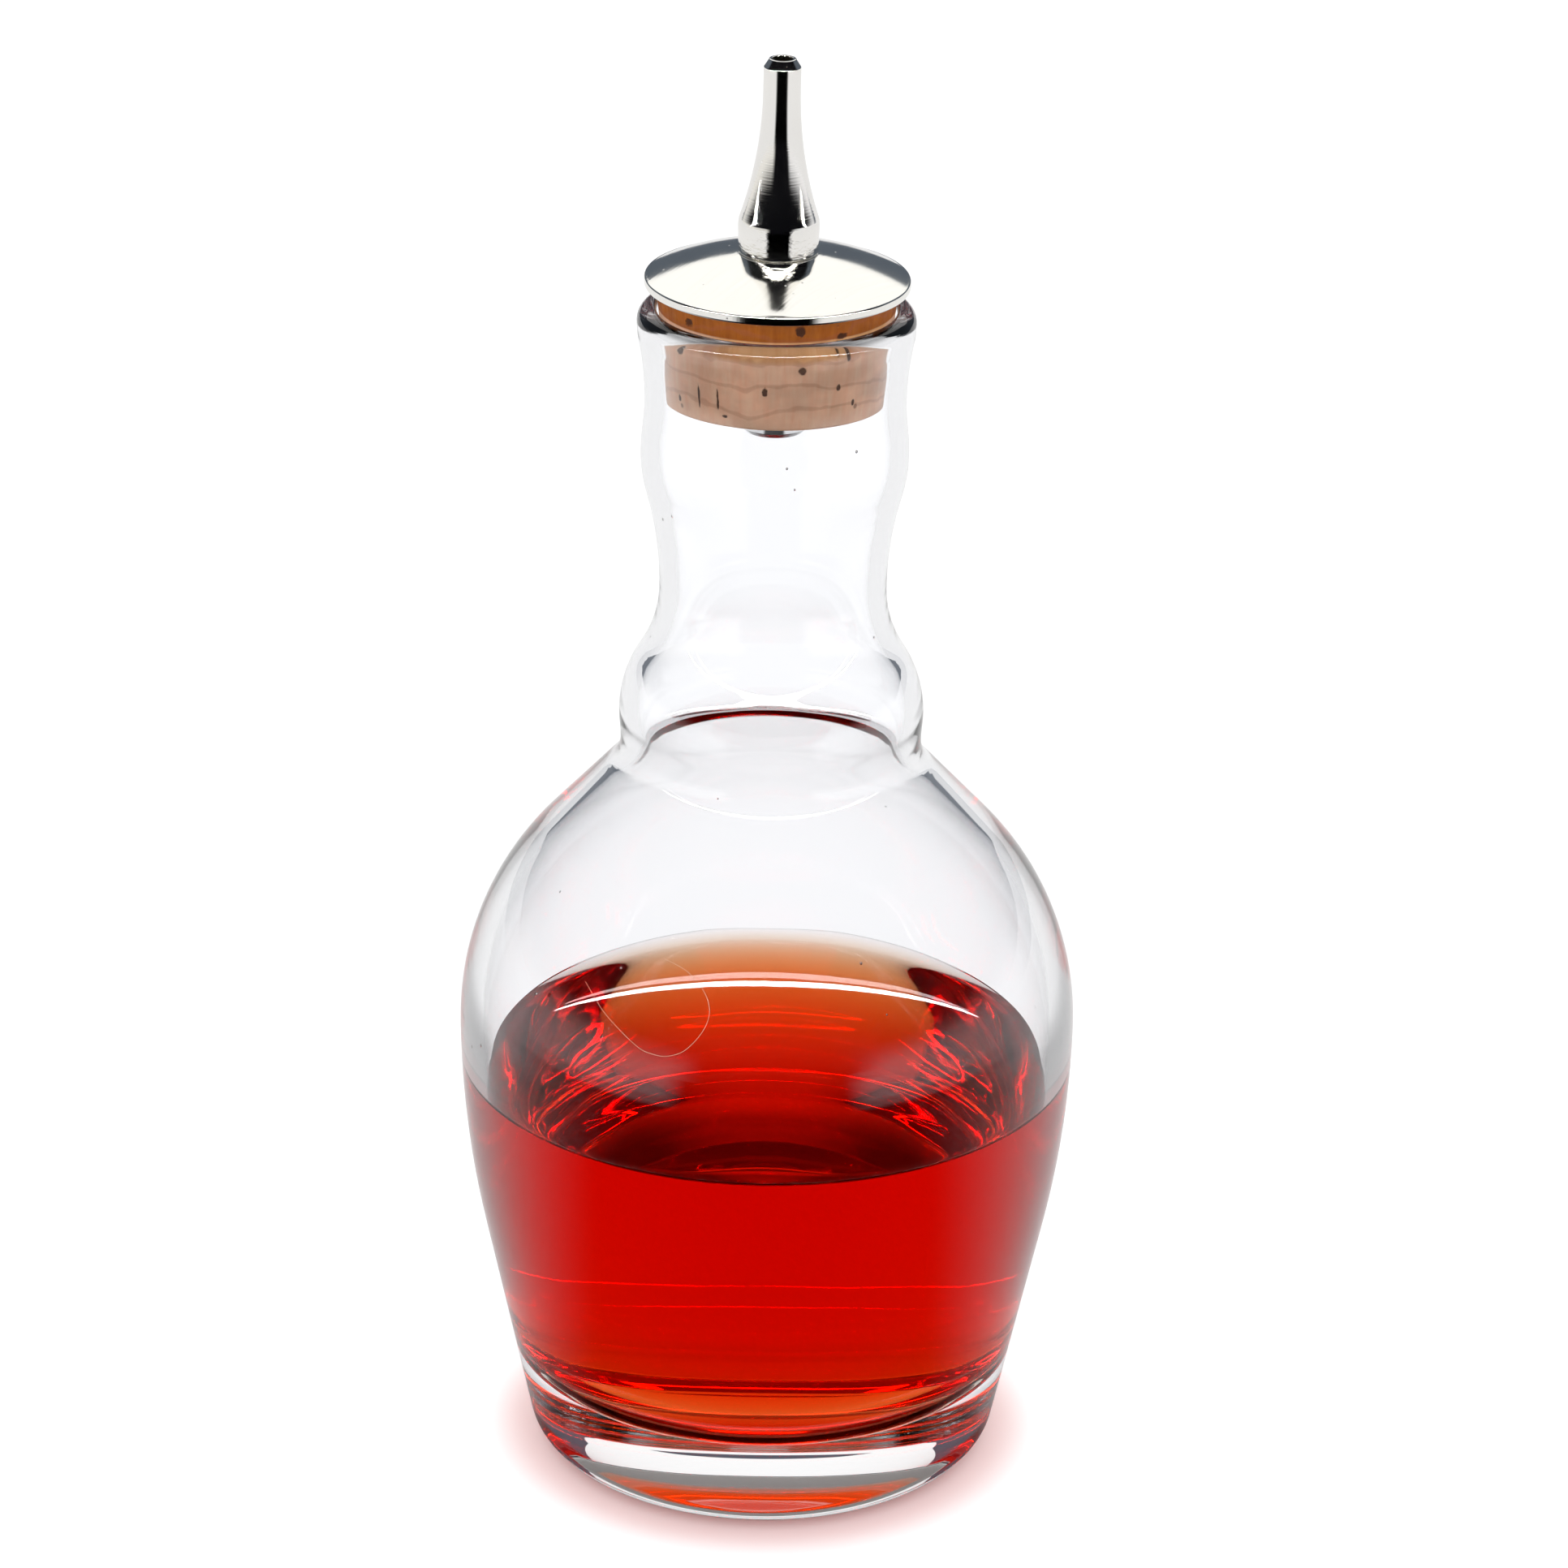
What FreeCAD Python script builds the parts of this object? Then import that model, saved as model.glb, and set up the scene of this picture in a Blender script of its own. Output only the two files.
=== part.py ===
"""Bitters bottle: a blown glass bottle with its liquid, stopped by a cork that carries a metal pourer.

Everything is round about the Z axis, so each piece is a profile drawn on the XZ plane and revolved.
The origin is the middle of the standing face and +Z points up.  Lengths are millimetres.
"""
import FreeCAD, Part
import math
import os
import Sketcher

# ---------------------------------------------------------------------------------------------
# Driving sizes: alias, value, meaning
# ---------------------------------------------------------------------------------------------
SIZE_LIST = [
    ("foot_radius", 27.25, "where the line of the flank would meet the table"),
    ("heel_bend", 4.2, "rounding between the standing face and the flank"),
    ("base_thickness", 10.5, "solid glass under the liquid"),
    ("punt_radius", 19.0, "shallow hollow under the foot, inside the standing ring"),
    ("punt_rise", 1.8, "height of the hollow at the axis"),
    ("floor_bend", 9.5, "rounding between the inner floor and the flank"),
    ("body_radius", 36.0, "widest radius of the body"),
    ("body_wall", 2.6, "glass thickness round the belly"),
    ("flank_rise", 29.2, "height at which the straight flank starts to curve"),
    ("belly_rise", 53.9, "height of the widest circle"),
    ("shoulder_angle", 42.9, "slope of the shoulder's cone from the vertical, degrees"),
    ("shoulder_rise", 35.25, "from the widest circle up to the crease under the neck"),
    ("crease_bend", 4.7, "hollow rounding of the crease"),
    ("neck_radius", 12.96, "narrowest radius of the neck, outside"),
    ("neck_wall", 2.2, "glass thickness of the neck"),
    ("crease_swell", 4.36, "crease, beyond the neck radius"),
    ("bulge_rise", 3.4, "from the crease up to the crest of the neck's bulge"),
    ("bulge_swell", 0.18, "crest of the bulge, beyond the crease"),
    ("bulge_foot_bend", 12.0, "rounding under the bulge's crest"),
    ("bulge_bend", 13.2, "rounding over the bulge's crest"),
    ("neck_rise", 15.35, "from the bulge's crest up to the narrowest circle"),
    ("ring_rise", 15.95, "from the narrowest circle up to the crest of the ring"),
    ("ring_swell", 2.21, "crest of the ring, beyond the neck radius"),
    ("ring_bend", 16.6, "rounding under the ring's crest"),
    ("ring_top_bend", 24.0, "rounding over the ring's crest"),
    ("pinch_rise", 6.4, "from the ring's crest up to the pinch under the lip"),
    ("pinch_swell", 1.8, "pinch, beyond the neck radius"),
    ("lip_rise", 9.2, "from the pinch up to the widest circle of the lip"),
    ("lip_swell", 2.7, "widest circle of the lip, beyond the neck radius"),
    ("lip_flare_bend", 12.0, "rounding of the flare below the lip"),
    ("lip_bend", 1.7, "rounding of the lip's outer edge"),
    ("mouth_bend", 0.45, "rounding of the lip's inner edge"),
    ("liquid_level", 48.0, "height of the liquid's surface"),
    ("cap_lean", 0.5, "lean of the stopper in the mouth, degrees"),
    ("cork_play", 0.16, "gap between the cork and the mouth, in the plane of the lip"),
    ("cork_proud", 2.4, "cork above the lip"),
    ("cork_depth", 10.3, "cork below the lip"),
    ("cork_slope", 6.4, "taper of the cork's side from the vertical, degrees"),
    ("cork_edge", 0.3, "bevel of the cork's lower edge"),
    ("disc_radius", 14.9, "metal disc on the cork"),
    ("disc_edge", 1.1, "thickness of the disc's edge"),
    ("disc_edge_bend", 0.3, "rounding of the disc's edge"),
    ("dome_rise", 2.85, "from the top of the disc's edge up to the spout's seat"),
    ("dome_bend", 35.0, "curve of the domed top"),
    ("spout_radius", 4.56, "spout at its shoulder"),
    ("spout_foot_inset", 0.09, "spout's foot, inside the radius of its shoulder"),
    ("spout_foot_bevel", 0.16, "bevel that makes the seam between the spout and the disc"),
    ("spout_barrel", 3.0, "height of the nearly straight barrel"),
    ("spout_shoulder", 0.95, "height of the rounded shoulder over the barrel"),
    ("spout_shoulder_inset", 0.1, "top of the shoulder, inside its radius"),
    ("spout_flare", 14.6, "height of the hollow flare"),
    ("spout_tip_radius", 2.09, "straight tip of the spout"),
    ("spout_tip", 2.6, "length of the straight tip"),
    ("spout_tip_bevel", 0.62, "slanted edge of the tip, across"),
    ("spout_tip_drop", 0.95, "slanted edge of the tip, upwards"),
    ("bore_radius", 1.15, "pouring bore through the spout, the disc and the tube"),
    ("tube_radius", 2.5, "tube through the cork"),
    ("tube_play", 0.2, "gap between the tube and the cork"),
    ("collar_radius", 3.78, "collar under the cork"),
    ("collar_length", 3.85, "collar, from the cork down"),
    ("collar_bevel", 0.55, "bevel of the collar's lower edge"),
    ("collar_step", 1.35, "step in the collar's lower face, across"),
    ("collar_recess", 0.5, "step in the collar's lower face, upwards"),
]
SIZES = {alias: value for alias, value, meaning in SIZE_LIST}

document = FreeCAD.newDocument("bitters_bottle")
sheet = document.addObject("Spreadsheet::Sheet", "Sizes")
for row, (alias, value, meaning) in enumerate(SIZE_LIST, start=1):
    sheet.set("A%d" % row, meaning)
    sheet.set("B%d" % row, str(value))
    sheet.setAlias("B%d" % row, alias)
document.recompute()

# Heights of the bottle's stations, each stacked on the one below it.
CREASE_HEIGHT = "belly_rise + shoulder_rise"
BULGE_HEIGHT = CREASE_HEIGHT + " + bulge_rise"
NECK_HEIGHT = BULGE_HEIGHT + " + neck_rise"
RING_HEIGHT = NECK_HEIGHT + " + ring_rise"
PINCH_HEIGHT = RING_HEIGHT + " + pinch_rise"
LIP_HEIGHT = PINCH_HEIGHT + " + lip_rise"
MOUTH_HEIGHT = LIP_HEIGHT + " + lip_bend"

# Radii in the mouth: its wall, and the cork's side in the plane of the lip.
MOUTH_RADIUS = "neck_radius + lip_swell - neck_wall"
CORK_RADIUS = MOUTH_RADIUS + " - cork_play"

# Crests and waists of the neck, from the bottom up: radius, height, bend of the crest below it.
NECK_STATIONS = [
    ("neck_radius + crease_swell", CREASE_HEIGHT, None),
    ("neck_radius + crease_swell + bulge_swell", BULGE_HEIGHT, "bulge_foot_bend"),
    ("neck_radius", NECK_HEIGHT, "bulge_bend"),
    ("neck_radius + ring_swell", RING_HEIGHT, "ring_bend"),
    ("neck_radius + pinch_swell", PINCH_HEIGHT, "ring_top_bend"),
    ("neck_radius + lip_swell", LIP_HEIGHT, "lip_flare_bend"),
]


# ---------------------------------------------------------------------------------------------
# Sums of named sizes, as a number and as an expression
# ---------------------------------------------------------------------------------------------
def terms(text):
    """Split 'a + b - c' into (sign, name) pairs; '0' stands for nothing."""
    words = ("+ " + text).split()
    return [(sign, name) for sign, name in zip(words[0::2], words[1::2]) if name != "0"]


def amount(text):
    """The number that a sum of named sizes comes to."""
    return sum(SIZES[name] if sign == "+" else -SIZES[name] for sign, name in terms(text))


def formula(text):
    """The same sum as an expression on the sheet."""
    return "0 " + " ".join("%s Sizes.%s" % pair for pair in terms(text))


# ---------------------------------------------------------------------------------------------
# Sketch helpers.  A sketch's x is the radius and its y is the height.
# ---------------------------------------------------------------------------------------------
START, END, CENTRE = 1, 2, 3
GROUND, AXIS = -1, -2


def new_body(label):
    body = document.addObject("PartDesign::Body", label)
    body.Label = label
    return body


def new_sketch(body, name):
    """A sketch on the body's own XZ plane."""
    sketch = body.newObject("Sketcher::SketchObject", name)
    plane = [item for item in body.Origin.OriginFeatures if item.Role == "XZ_Plane"][0]
    sketch.AttachmentSupport = [(plane, "")]
    sketch.MapMode = "FlatFace"
    return sketch


def hold(sketch, kind, where, text, name):
    """Add a dimension that follows a sum of named sizes."""
    index = sketch.addConstraint(Sketcher.Constraint(kind, *where, amount(text)))
    sketch.renameConstraint(index, name)
    sketch.setExpression("Constraints." + name, formula(text))


def hold_point(sketch, where, radius, height, name):
    """Pin a point at a named radius and height."""
    hold(sketch, "DistanceX", where, radius, name + "_radius")
    hold(sketch, "DistanceY", where, height, name + "_height")


def join(sketch, one, other, tangent=False):
    kind = "Tangent" if tangent else "Coincident"
    sketch.addConstraint(Sketcher.Constraint(kind, *one, *other))


def level(sketch, arc, end):
    """Put an arc's centre level with one of its ends, where it then runs straight up."""
    sketch.addConstraint(Sketcher.Constraint("Horizontal", arc, CENTRE, arc, end))


def add_line(sketch, start, end, construction=False):
    segment = Part.LineSegment(FreeCAD.Vector(*start, 0), FreeCAD.Vector(*end, 0))
    return sketch.addGeometry(segment, construction)


def add_arc(sketch, centre, start, end):
    """An arc, drawn anticlockwise from start to end."""
    radius = math.dist(centre, start)
    first = math.atan2(start[1] - centre[1], start[0] - centre[0])
    last = math.atan2(end[1] - centre[1], end[0] - centre[0])
    if last < first:
        last += 2 * math.pi
    circle = Part.Circle(FreeCAD.Vector(*centre, 0), FreeCAD.Vector(0, 0, 1), radius)
    return sketch.addGeometry(Part.ArcOfCircle(circle, first, last), False)


def revolve(body, sketch):
    """Turn the profile round the Z axis."""
    feature = body.newObject("PartDesign::Revolution", sketch.Name + "_turned")
    feature.Profile = sketch
    feature.ReferenceAxis = (sketch, ["V_Axis"])
    feature.Angle = 360.0
    sketch.Visibility = False
    body.Tip = feature
    document.recompute()
    return feature


# ---------------------------------------------------------------------------------------------
# The bottle's outline, used for its outside and, set in by the wall, for its hollow
# ---------------------------------------------------------------------------------------------
def add_sway(sketch, below, above, bend, name):
    """Two arcs from one level station up to the next: a crest of a named bend and its waist."""
    lower = (amount(below[0]), amount(below[1]))
    upper = (amount(above[0]), amount(above[1]))
    crest_below = lower[0] > upper[0]
    crest, waist = (lower, upper) if crest_below else (upper, lower)
    across, along = crest[0] - waist[0], upper[1] - lower[1]
    both_bends = (across ** 2 + along ** 2) / (2 * across)
    crest_bend = amount(bend)
    crest_centre = (crest[0] - crest_bend, crest[1])
    waist_centre = (waist[0] + both_bends - crest_bend, waist[1])
    share = crest_bend / both_bends
    middle = tuple(a + share * (b - a) for a, b in zip(crest_centre, waist_centre))
    if crest_below:
        first = add_arc(sketch, crest_centre, crest, middle)
        second = add_arc(sketch, waist_centre, waist, middle)
        low_end, join_first, join_second, high_end = START, END, END, START
        crest_arc = first
    else:
        first = add_arc(sketch, waist_centre, middle, waist)
        second = add_arc(sketch, crest_centre, middle, crest)
        low_end, join_first, join_second, high_end = END, START, START, END
        crest_arc = second
    join(sketch, (first, join_first), (second, join_second), tangent=True)
    level(sketch, first, low_end)
    level(sketch, second, high_end)
    hold_point(sketch, (second, high_end), above[0], above[1], name)
    hold(sketch, "Radius", (crest_arc,), bend, name + "_bend")
    return (first, low_end), (second, high_end)


def add_flank(sketch, bottom, corner_bend, wall):
    """Bottom line, rounded corner and straight flank, up to the point where the belly curves."""
    foot = amount("foot_radius" + wall)
    belly = amount("body_radius" + wall)
    floor, bend = amount(bottom), amount(corner_bend)
    turn = 2 * math.atan((belly - foot) / (SIZES["belly_rise"] + SIZES["flank_rise"]))
    slope = math.tan(turn)
    corner = foot + slope * (floor + bend) - bend / math.cos(turn)
    heel_high = (corner + bend * math.cos(turn), floor + bend - bend * math.sin(turn))
    flank_high = (foot + slope * SIZES["flank_rise"], SIZES["flank_rise"])
    base = add_line(sketch, (0, floor), (corner, floor))
    heel = add_arc(sketch, (corner, floor + bend), (corner, floor), heel_high)
    flank = add_line(sketch, heel_high, flank_high)
    sketch.addConstraint(Sketcher.Constraint("PointOnObject", base, START, AXIS))
    sketch.addConstraint(Sketcher.Constraint("Horizontal", base))
    hold(sketch, "DistanceY", (base, START), bottom, "bottom_height")
    join(sketch, (base, END), (heel, START), tangent=True)
    join(sketch, (heel, END), (flank, START), tangent=True)
    hold(sketch, "Radius", (heel,), corner_bend, "corner_bend")
    foot_mark = sketch.addGeometry(Part.Point(FreeCAD.Vector(foot, 0, 0)), True)
    hold(sketch, "DistanceX", (foot_mark, START), "foot_radius" + wall, "foot_mark_radius")
    sketch.addConstraint(Sketcher.Constraint("PointOnObject", foot_mark, START, GROUND))
    sketch.addConstraint(Sketcher.Constraint("PointOnObject", foot_mark, START, flank))
    hold(sketch, "DistanceY", (flank, END), "flank_rise", "flank_height")
    return base, flank, turn


def add_belly(sketch, flank, turn, wall, neck_wall):
    """Belly, shoulder and crease, from the top of the flank to the crease's level point."""
    belly = (amount("body_radius" + wall), SIZES["belly_rise"])
    low_bend = (SIZES["belly_rise"] - SIZES["flank_rise"]) / math.sin(turn)
    low_centre = (belly[0] - low_bend, belly[1])
    low_start = (low_centre[0] + low_bend * math.cos(turn), SIZES["flank_rise"])
    low = add_arc(sketch, low_centre, low_start, belly)
    join(sketch, (flank, END), (low, START), tangent=True)
    level(sketch, low, END)
    hold_point(sketch, (low, END), "body_radius" + wall, "belly_rise", "belly")

    crease_text = "neck_radius + crease_swell" + neck_wall
    bend_text = "crease_bend" + neck_wall.replace("-", "+")
    crease = (amount(crease_text), amount(CREASE_HEIGHT))
    bend = amount(bend_text)
    angle = math.radians(SIZES["shoulder_angle"])
    corner_low = crease[1] - bend * math.tan(angle / 2)
    corner_out = corner_low - (belly[0] - crease[0]) / math.tan(angle)
    tangent_length = corner_out - belly[1]
    high_bend = tangent_length / math.tan(angle / 2)
    high_centre = (belly[0] - high_bend, belly[1])
    cone_low = (high_centre[0] + high_bend * math.cos(angle), belly[1] + high_bend * math.sin(angle))
    crease_centre = (crease[0] + bend, crease[1])
    cone_high = (crease_centre[0] - bend * math.cos(angle), crease[1] - bend * math.sin(angle))
    high = add_arc(sketch, high_centre, belly, cone_low)
    cone = add_line(sketch, cone_low, cone_high)
    hollow = add_arc(sketch, crease_centre, crease, cone_high)
    join(sketch, (low, END), (high, START))
    level(sketch, high, START)
    join(sketch, (high, END), (cone, START), tangent=True)
    join(sketch, (cone, END), (hollow, END), tangent=True)
    level(sketch, hollow, START)
    hold_point(sketch, (hollow, START), crease_text, CREASE_HEIGHT, "crease")
    hold(sketch, "Radius", (hollow,), bend_text, "crease_bend")
    index = sketch.addConstraint(Sketcher.Constraint("Angle", cone, math.pi / 2 + angle))
    sketch.renameConstraint(index, "shoulder_slope")
    sketch.setExpression("Constraints.shoulder_slope", "90 deg + Sizes.shoulder_angle * 1 deg")
    return hollow, START


def add_neck(sketch, start, neck_wall):
    """The neck's crests and waists, from the crease to the widest circle of the lip."""
    last = start
    for number in range(1, len(NECK_STATIONS)):
        below, above = NECK_STATIONS[number - 1], NECK_STATIONS[number]
        first, second = add_sway(
            sketch,
            (below[0] + neck_wall, below[1]),
            (above[0] + neck_wall, above[1]),
            above[2] + neck_wall,
            "station%d" % number,
        )
        join(sketch, last, first)
        last = second
    return last


def close_at_top(sketch, base, last, edge, height):
    """Run level from the last point to the axis and down the axis to the bottom line."""
    top = add_line(sketch, edge, (0, edge[1]))
    axis = add_line(sketch, (0, edge[1]), (0, amount(height)))
    join(sketch, last, (top, START))
    sketch.addConstraint(Sketcher.Constraint("Horizontal", top))
    sketch.addConstraint(Sketcher.Constraint("PointOnObject", top, END, AXIS))
    join(sketch, (top, END), (axis, START))
    join(sketch, (axis, END), (base, START))


def make_bottle_form():
    """The bottle's outside, filled."""
    body = new_body("bottle_form")
    sketch = new_sketch(body, "outside")
    base, flank, turn = add_flank(sketch, "0", "heel_bend", "")
    crease = add_belly(sketch, flank, turn, "", "")
    last = add_neck(sketch, crease, "")
    lip = (amount("neck_radius + lip_swell"), amount(LIP_HEIGHT))
    centre = (lip[0] - SIZES["lip_bend"], lip[1])
    crown = (centre[0], lip[1] + SIZES["lip_bend"])
    arc = add_arc(sketch, centre, lip, crown)
    join(sketch, last, (arc, START))
    level(sketch, arc, START)
    hold(sketch, "Radius", (arc,), "lip_bend", "lip_bend")
    sketch.addConstraint(Sketcher.Constraint("Vertical", arc, CENTRE, arc, END))
    close_at_top(sketch, base, (arc, END), crown, "0")
    revolve(body, sketch)
    return body


def make_bottle_hollow():
    """The space inside the bottle, up through the mouth."""
    body = new_body("bottle_hollow")
    sketch = new_sketch(body, "inside")
    base, flank, turn = add_flank(sketch, "base_thickness", "floor_bend", " - body_wall")
    crease = add_belly(sketch, flank, turn, " - body_wall", " - neck_wall")
    last = add_neck(sketch, crease, " - neck_wall")
    lip = (amount(MOUTH_RADIUS), amount(LIP_HEIGHT))
    mouth = amount(MOUTH_HEIGHT)
    bend = SIZES["mouth_bend"]
    throat = add_line(sketch, lip, (lip[0], mouth - bend))
    edge = add_arc(sketch, (lip[0] + bend, mouth - bend), (lip[0] + bend, mouth), (lip[0], mouth - bend))
    join(sketch, last, (throat, START))
    sketch.addConstraint(Sketcher.Constraint("Vertical", throat))
    join(sketch, (throat, END), (edge, END), tangent=True)
    sketch.addConstraint(Sketcher.Constraint("Vertical", edge, CENTRE, edge, START))
    hold(sketch, "DistanceY", (edge, START), MOUTH_HEIGHT, "mouth_height")
    hold(sketch, "Radius", (edge,), "mouth_bend", "mouth_bend")
    close_at_top(sketch, base, (edge, START), (lip[0] + bend, mouth), "base_thickness")
    revolve(body, sketch)
    return body


def make_punt():
    """The shallow dome under the foot, part of a large ball, that leaves a standing ring."""
    bend = "(Sizes.punt_radius ^ 2 + Sizes.punt_rise ^ 2) / (2 * Sizes.punt_rise)"
    punt = document.addObject("Part::Sphere", "punt")
    punt.setExpression("Radius", bend)
    punt.setExpression("Placement.Base.z", "Sizes.punt_rise - " + bend)
    return punt


def make_glass(form, hollow, punt):
    """The bottle itself: its form less its hollow and the punt under its foot."""
    blown = document.addObject("Part::Cut", "blown_bottle")
    blown.Base = form
    blown.Tool = hollow
    glass = document.addObject("Part::Cut", "glass_bottle")
    glass.Label = "glass_bottle"
    glass.Base = blown
    glass.Tool = punt
    return glass


def make_liquid(hollow):
    """The liquid fills the hollow up to its level."""
    reach = document.addObject("Part::Cylinder", "liquid_reach")
    reach.setExpression("Radius", formula("body_radius"))
    reach.setExpression("Height", formula("liquid_level"))
    liquid = document.addObject("Part::Common", "liquid")
    liquid.Label = "liquid"
    liquid.Base = hollow
    liquid.Tool = reach
    return liquid


# ---------------------------------------------------------------------------------------------
# The stopper.  Its pieces are drawn about the centre of the mouth, height 0 in the lip's plane.
# ---------------------------------------------------------------------------------------------
def arc_between(start, end, curve):
    """Centre of an arc that leaves start and reaches end: a named bend, or level with the end."""
    side, bend = curve
    across, along = end[0] - start[0], end[1] - start[1]
    if bend == "level":
        radius = (across ** 2 + along ** 2) / (2 * abs(across))
        return (end[0] - math.copysign(radius, across), end[1])
    radius, chord = amount(bend), math.hypot(across, along)
    height = math.sqrt(radius ** 2 - chord ** 2 / 4)
    turn = 1 if side == "bulging" else -1
    normal = (-along / chord * turn, across / chord * turn)
    return ((start[0] + end[0]) / 2 + normal[0] * height, (start[1] + end[1]) / 2 + normal[1] * height)


def turned_piece(label, corners):
    """Revolve an outline of corners, given anticlockwise as (radius, height, curve to the next)."""
    body = new_body(label)
    sketch = new_sketch(body, label + "_profile")
    points = [(amount(radius), amount(height)) for radius, height, curve in corners]
    ends = []
    for number, (radius, height, curve) in enumerate(corners):
        start, end = points[number], points[(number + 1) % len(points)]
        if curve is None:
            edge, here, there = add_line(sketch, start, end), START, END
        elif curve[0] == "bulging":
            edge, here, there = add_arc(sketch, arc_between(start, end, curve), start, end), START, END
        else:
            edge, here, there = add_arc(sketch, arc_between(start, end, curve), end, start), END, START
        hold_point(sketch, (edge, here), radius, height, "corner%d" % number)
        if curve is not None and curve[1] == "level":
            level(sketch, edge, there)
        elif curve is not None:
            hold(sketch, "Radius", (edge,), curve[1], "bend%d" % number)
        ends.append(((edge, here), (edge, there)))
    for number, (here, there) in enumerate(ends):
        join(sketch, there, ends[(number + 1) % len(ends)][0])
    revolve(body, sketch)
    return body


def seat_in_mouth(body):
    """Carry a piece of the stopper up to the mouth and lean it a little."""
    body.Placement = FreeCAD.Placement(
        FreeCAD.Vector(0, 0, amount(MOUTH_HEIGHT)),
        FreeCAD.Rotation(FreeCAD.Vector(0, 1, 0), SIZES["cap_lean"]),
    )
    body.setExpression("Placement.Base.z", formula(MOUTH_HEIGHT))
    body.setExpression("Placement.Rotation.Angle", "Sizes.cap_lean * 1 deg")
    return body


def cork_side(height):
    """Radius of the cork's tapered side at a height over the lip's plane."""
    return amount(CORK_RADIUS) + height * math.tan(math.radians(SIZES["cork_slope"]))


def make_cork():
    """A tapered cork, bored for the tube."""
    body = new_body("cork")
    sketch = new_sketch(body, "cork_profile")
    edge = SIZES["cork_edge"]
    hole, top, bottom = amount("tube_radius + tube_play"), SIZES["cork_proud"], -SIZES["cork_depth"]
    points = [
        (hole, bottom),
        (cork_side(bottom + edge) - edge, bottom),
        (cork_side(bottom + edge), bottom + edge),
        (cork_side(top), top),
        (hole, top),
    ]
    lines = [add_line(sketch, start, end) for start, end in zip(points, points[1:] + points[:1])]
    for line, following in zip(lines, lines[1:] + lines[:1]):
        join(sketch, (line, END), (following, START))
    floor, bevel, side, crown, bore = lines
    for flat in (floor, crown):
        sketch.addConstraint(Sketcher.Constraint("Horizontal", flat))
    sketch.addConstraint(Sketcher.Constraint("Vertical", bore))
    hold_point(sketch, (floor, START), "tube_radius + tube_play", "0 - cork_depth", "hole")
    hold(sketch, "DistanceY", (crown, START), "cork_proud", "crown_height")
    mark = sketch.addGeometry(Part.Point(FreeCAD.Vector(cork_side(0), 0, 0)), True)
    hold(sketch, "DistanceX", (mark, START), CORK_RADIUS, "mouth_mark")
    sketch.addConstraint(Sketcher.Constraint("PointOnObject", mark, START, GROUND))
    sketch.addConstraint(Sketcher.Constraint("PointOnObject", mark, START, side))
    slope = math.radians(90 - SIZES["cork_slope"])
    index = sketch.addConstraint(Sketcher.Constraint("Angle", side, slope))
    sketch.renameConstraint(index, "side_slope")
    sketch.setExpression("Constraints.side_slope", "90 deg - Sizes.cork_slope * 1 deg")
    hold(sketch, "DistanceY", (bevel, START, bevel, END), "cork_edge", "bevel_height")
    hold(sketch, "DistanceX", (bevel, START, bevel, END), "cork_edge", "bevel_width")
    revolve(body, sketch)
    return body


def make_disc():
    """The domed disc that covers the cork, flat where the spout stands."""
    low = "cork_proud"
    high = low + " + disc_edge"
    seat = high + " + dome_rise"
    return turned_piece("cap_disc", [
        ("bore_radius", low, None),
        ("disc_radius - disc_edge_bend", low, ("bulging", "disc_edge_bend")),
        ("disc_radius", low + " + disc_edge_bend", None),
        ("disc_radius", high + " - disc_edge_bend", ("bulging", "disc_edge_bend")),
        ("disc_radius - disc_edge_bend", high, ("bulging", "dome_bend")),
        ("spout_radius - spout_foot_inset", seat, None),
        ("bore_radius", seat, None),
    ])


def make_spout():
    """The turned spout: a barrel, a rounded shoulder, a long hollow flare and a bevelled tip."""
    foot = "cork_proud + disc_edge + dome_rise"
    shoulder = foot + " + spout_barrel"
    flare = shoulder + " + spout_shoulder"
    tip = flare + " + spout_flare"
    bevel = tip + " + spout_tip"
    end = bevel + " + spout_tip_drop"
    foot_radius = "spout_radius - spout_foot_inset"
    return turned_piece("spout", [
        ("bore_radius", foot, None),
        (foot_radius + " - spout_foot_bevel", foot, None),
        (foot_radius, foot + " + spout_foot_bevel", None),
        ("spout_radius", shoulder, ("bulging", "spout_radius")),
        ("spout_radius - spout_shoulder_inset", flare, ("hollow", "level")),
        ("spout_tip_radius", tip, None),
        ("spout_tip_radius", bevel, None),
        ("spout_tip_radius - spout_tip_bevel", end, None),
        ("bore_radius", end, None),
    ])


def make_tube():
    """The tube that carries the bore through the cork, with its collar underneath."""
    cork_foot = "0 - cork_depth"
    foot = cork_foot + " - collar_length"
    return turned_piece("pour_tube", [
        ("collar_radius - collar_bevel - collar_step", foot + " + collar_recess", None),
        ("collar_radius - collar_bevel - collar_step", foot, None),
        ("collar_radius - collar_bevel", foot, None),
        ("collar_radius", foot + " + collar_bevel", None),
        ("collar_radius", cork_foot, None),
        ("tube_radius", cork_foot, None),
        ("tube_radius", "cork_proud", None),
        ("bore_radius", "cork_proud", None),
        ("bore_radius", foot + " + collar_recess", None),
    ])


# ---------------------------------------------------------------------------------------------
# Build, check and write
# ---------------------------------------------------------------------------------------------
def check(item):
    """Stop on an object that failed to recompute."""
    for state in item.State:
        if state in ("Invalid", "Error"):
            raise RuntimeError("%s is %s" % (item.Label, state))
    if item.isDerivedFrom("Sketcher::SketchObject") and not item.FullyConstrained:
        raise RuntimeError("%s is not fully constrained" % item.Label)


bottle_form = make_bottle_form()
bottle_hollow = make_bottle_hollow()
pieces = [make_glass(bottle_form, bottle_hollow, make_punt()), make_liquid(bottle_hollow)]
pieces += [seat_in_mouth(piece) for piece in (make_cork(), make_disc(), make_spout(), make_tube())]
document.recompute()

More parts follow.
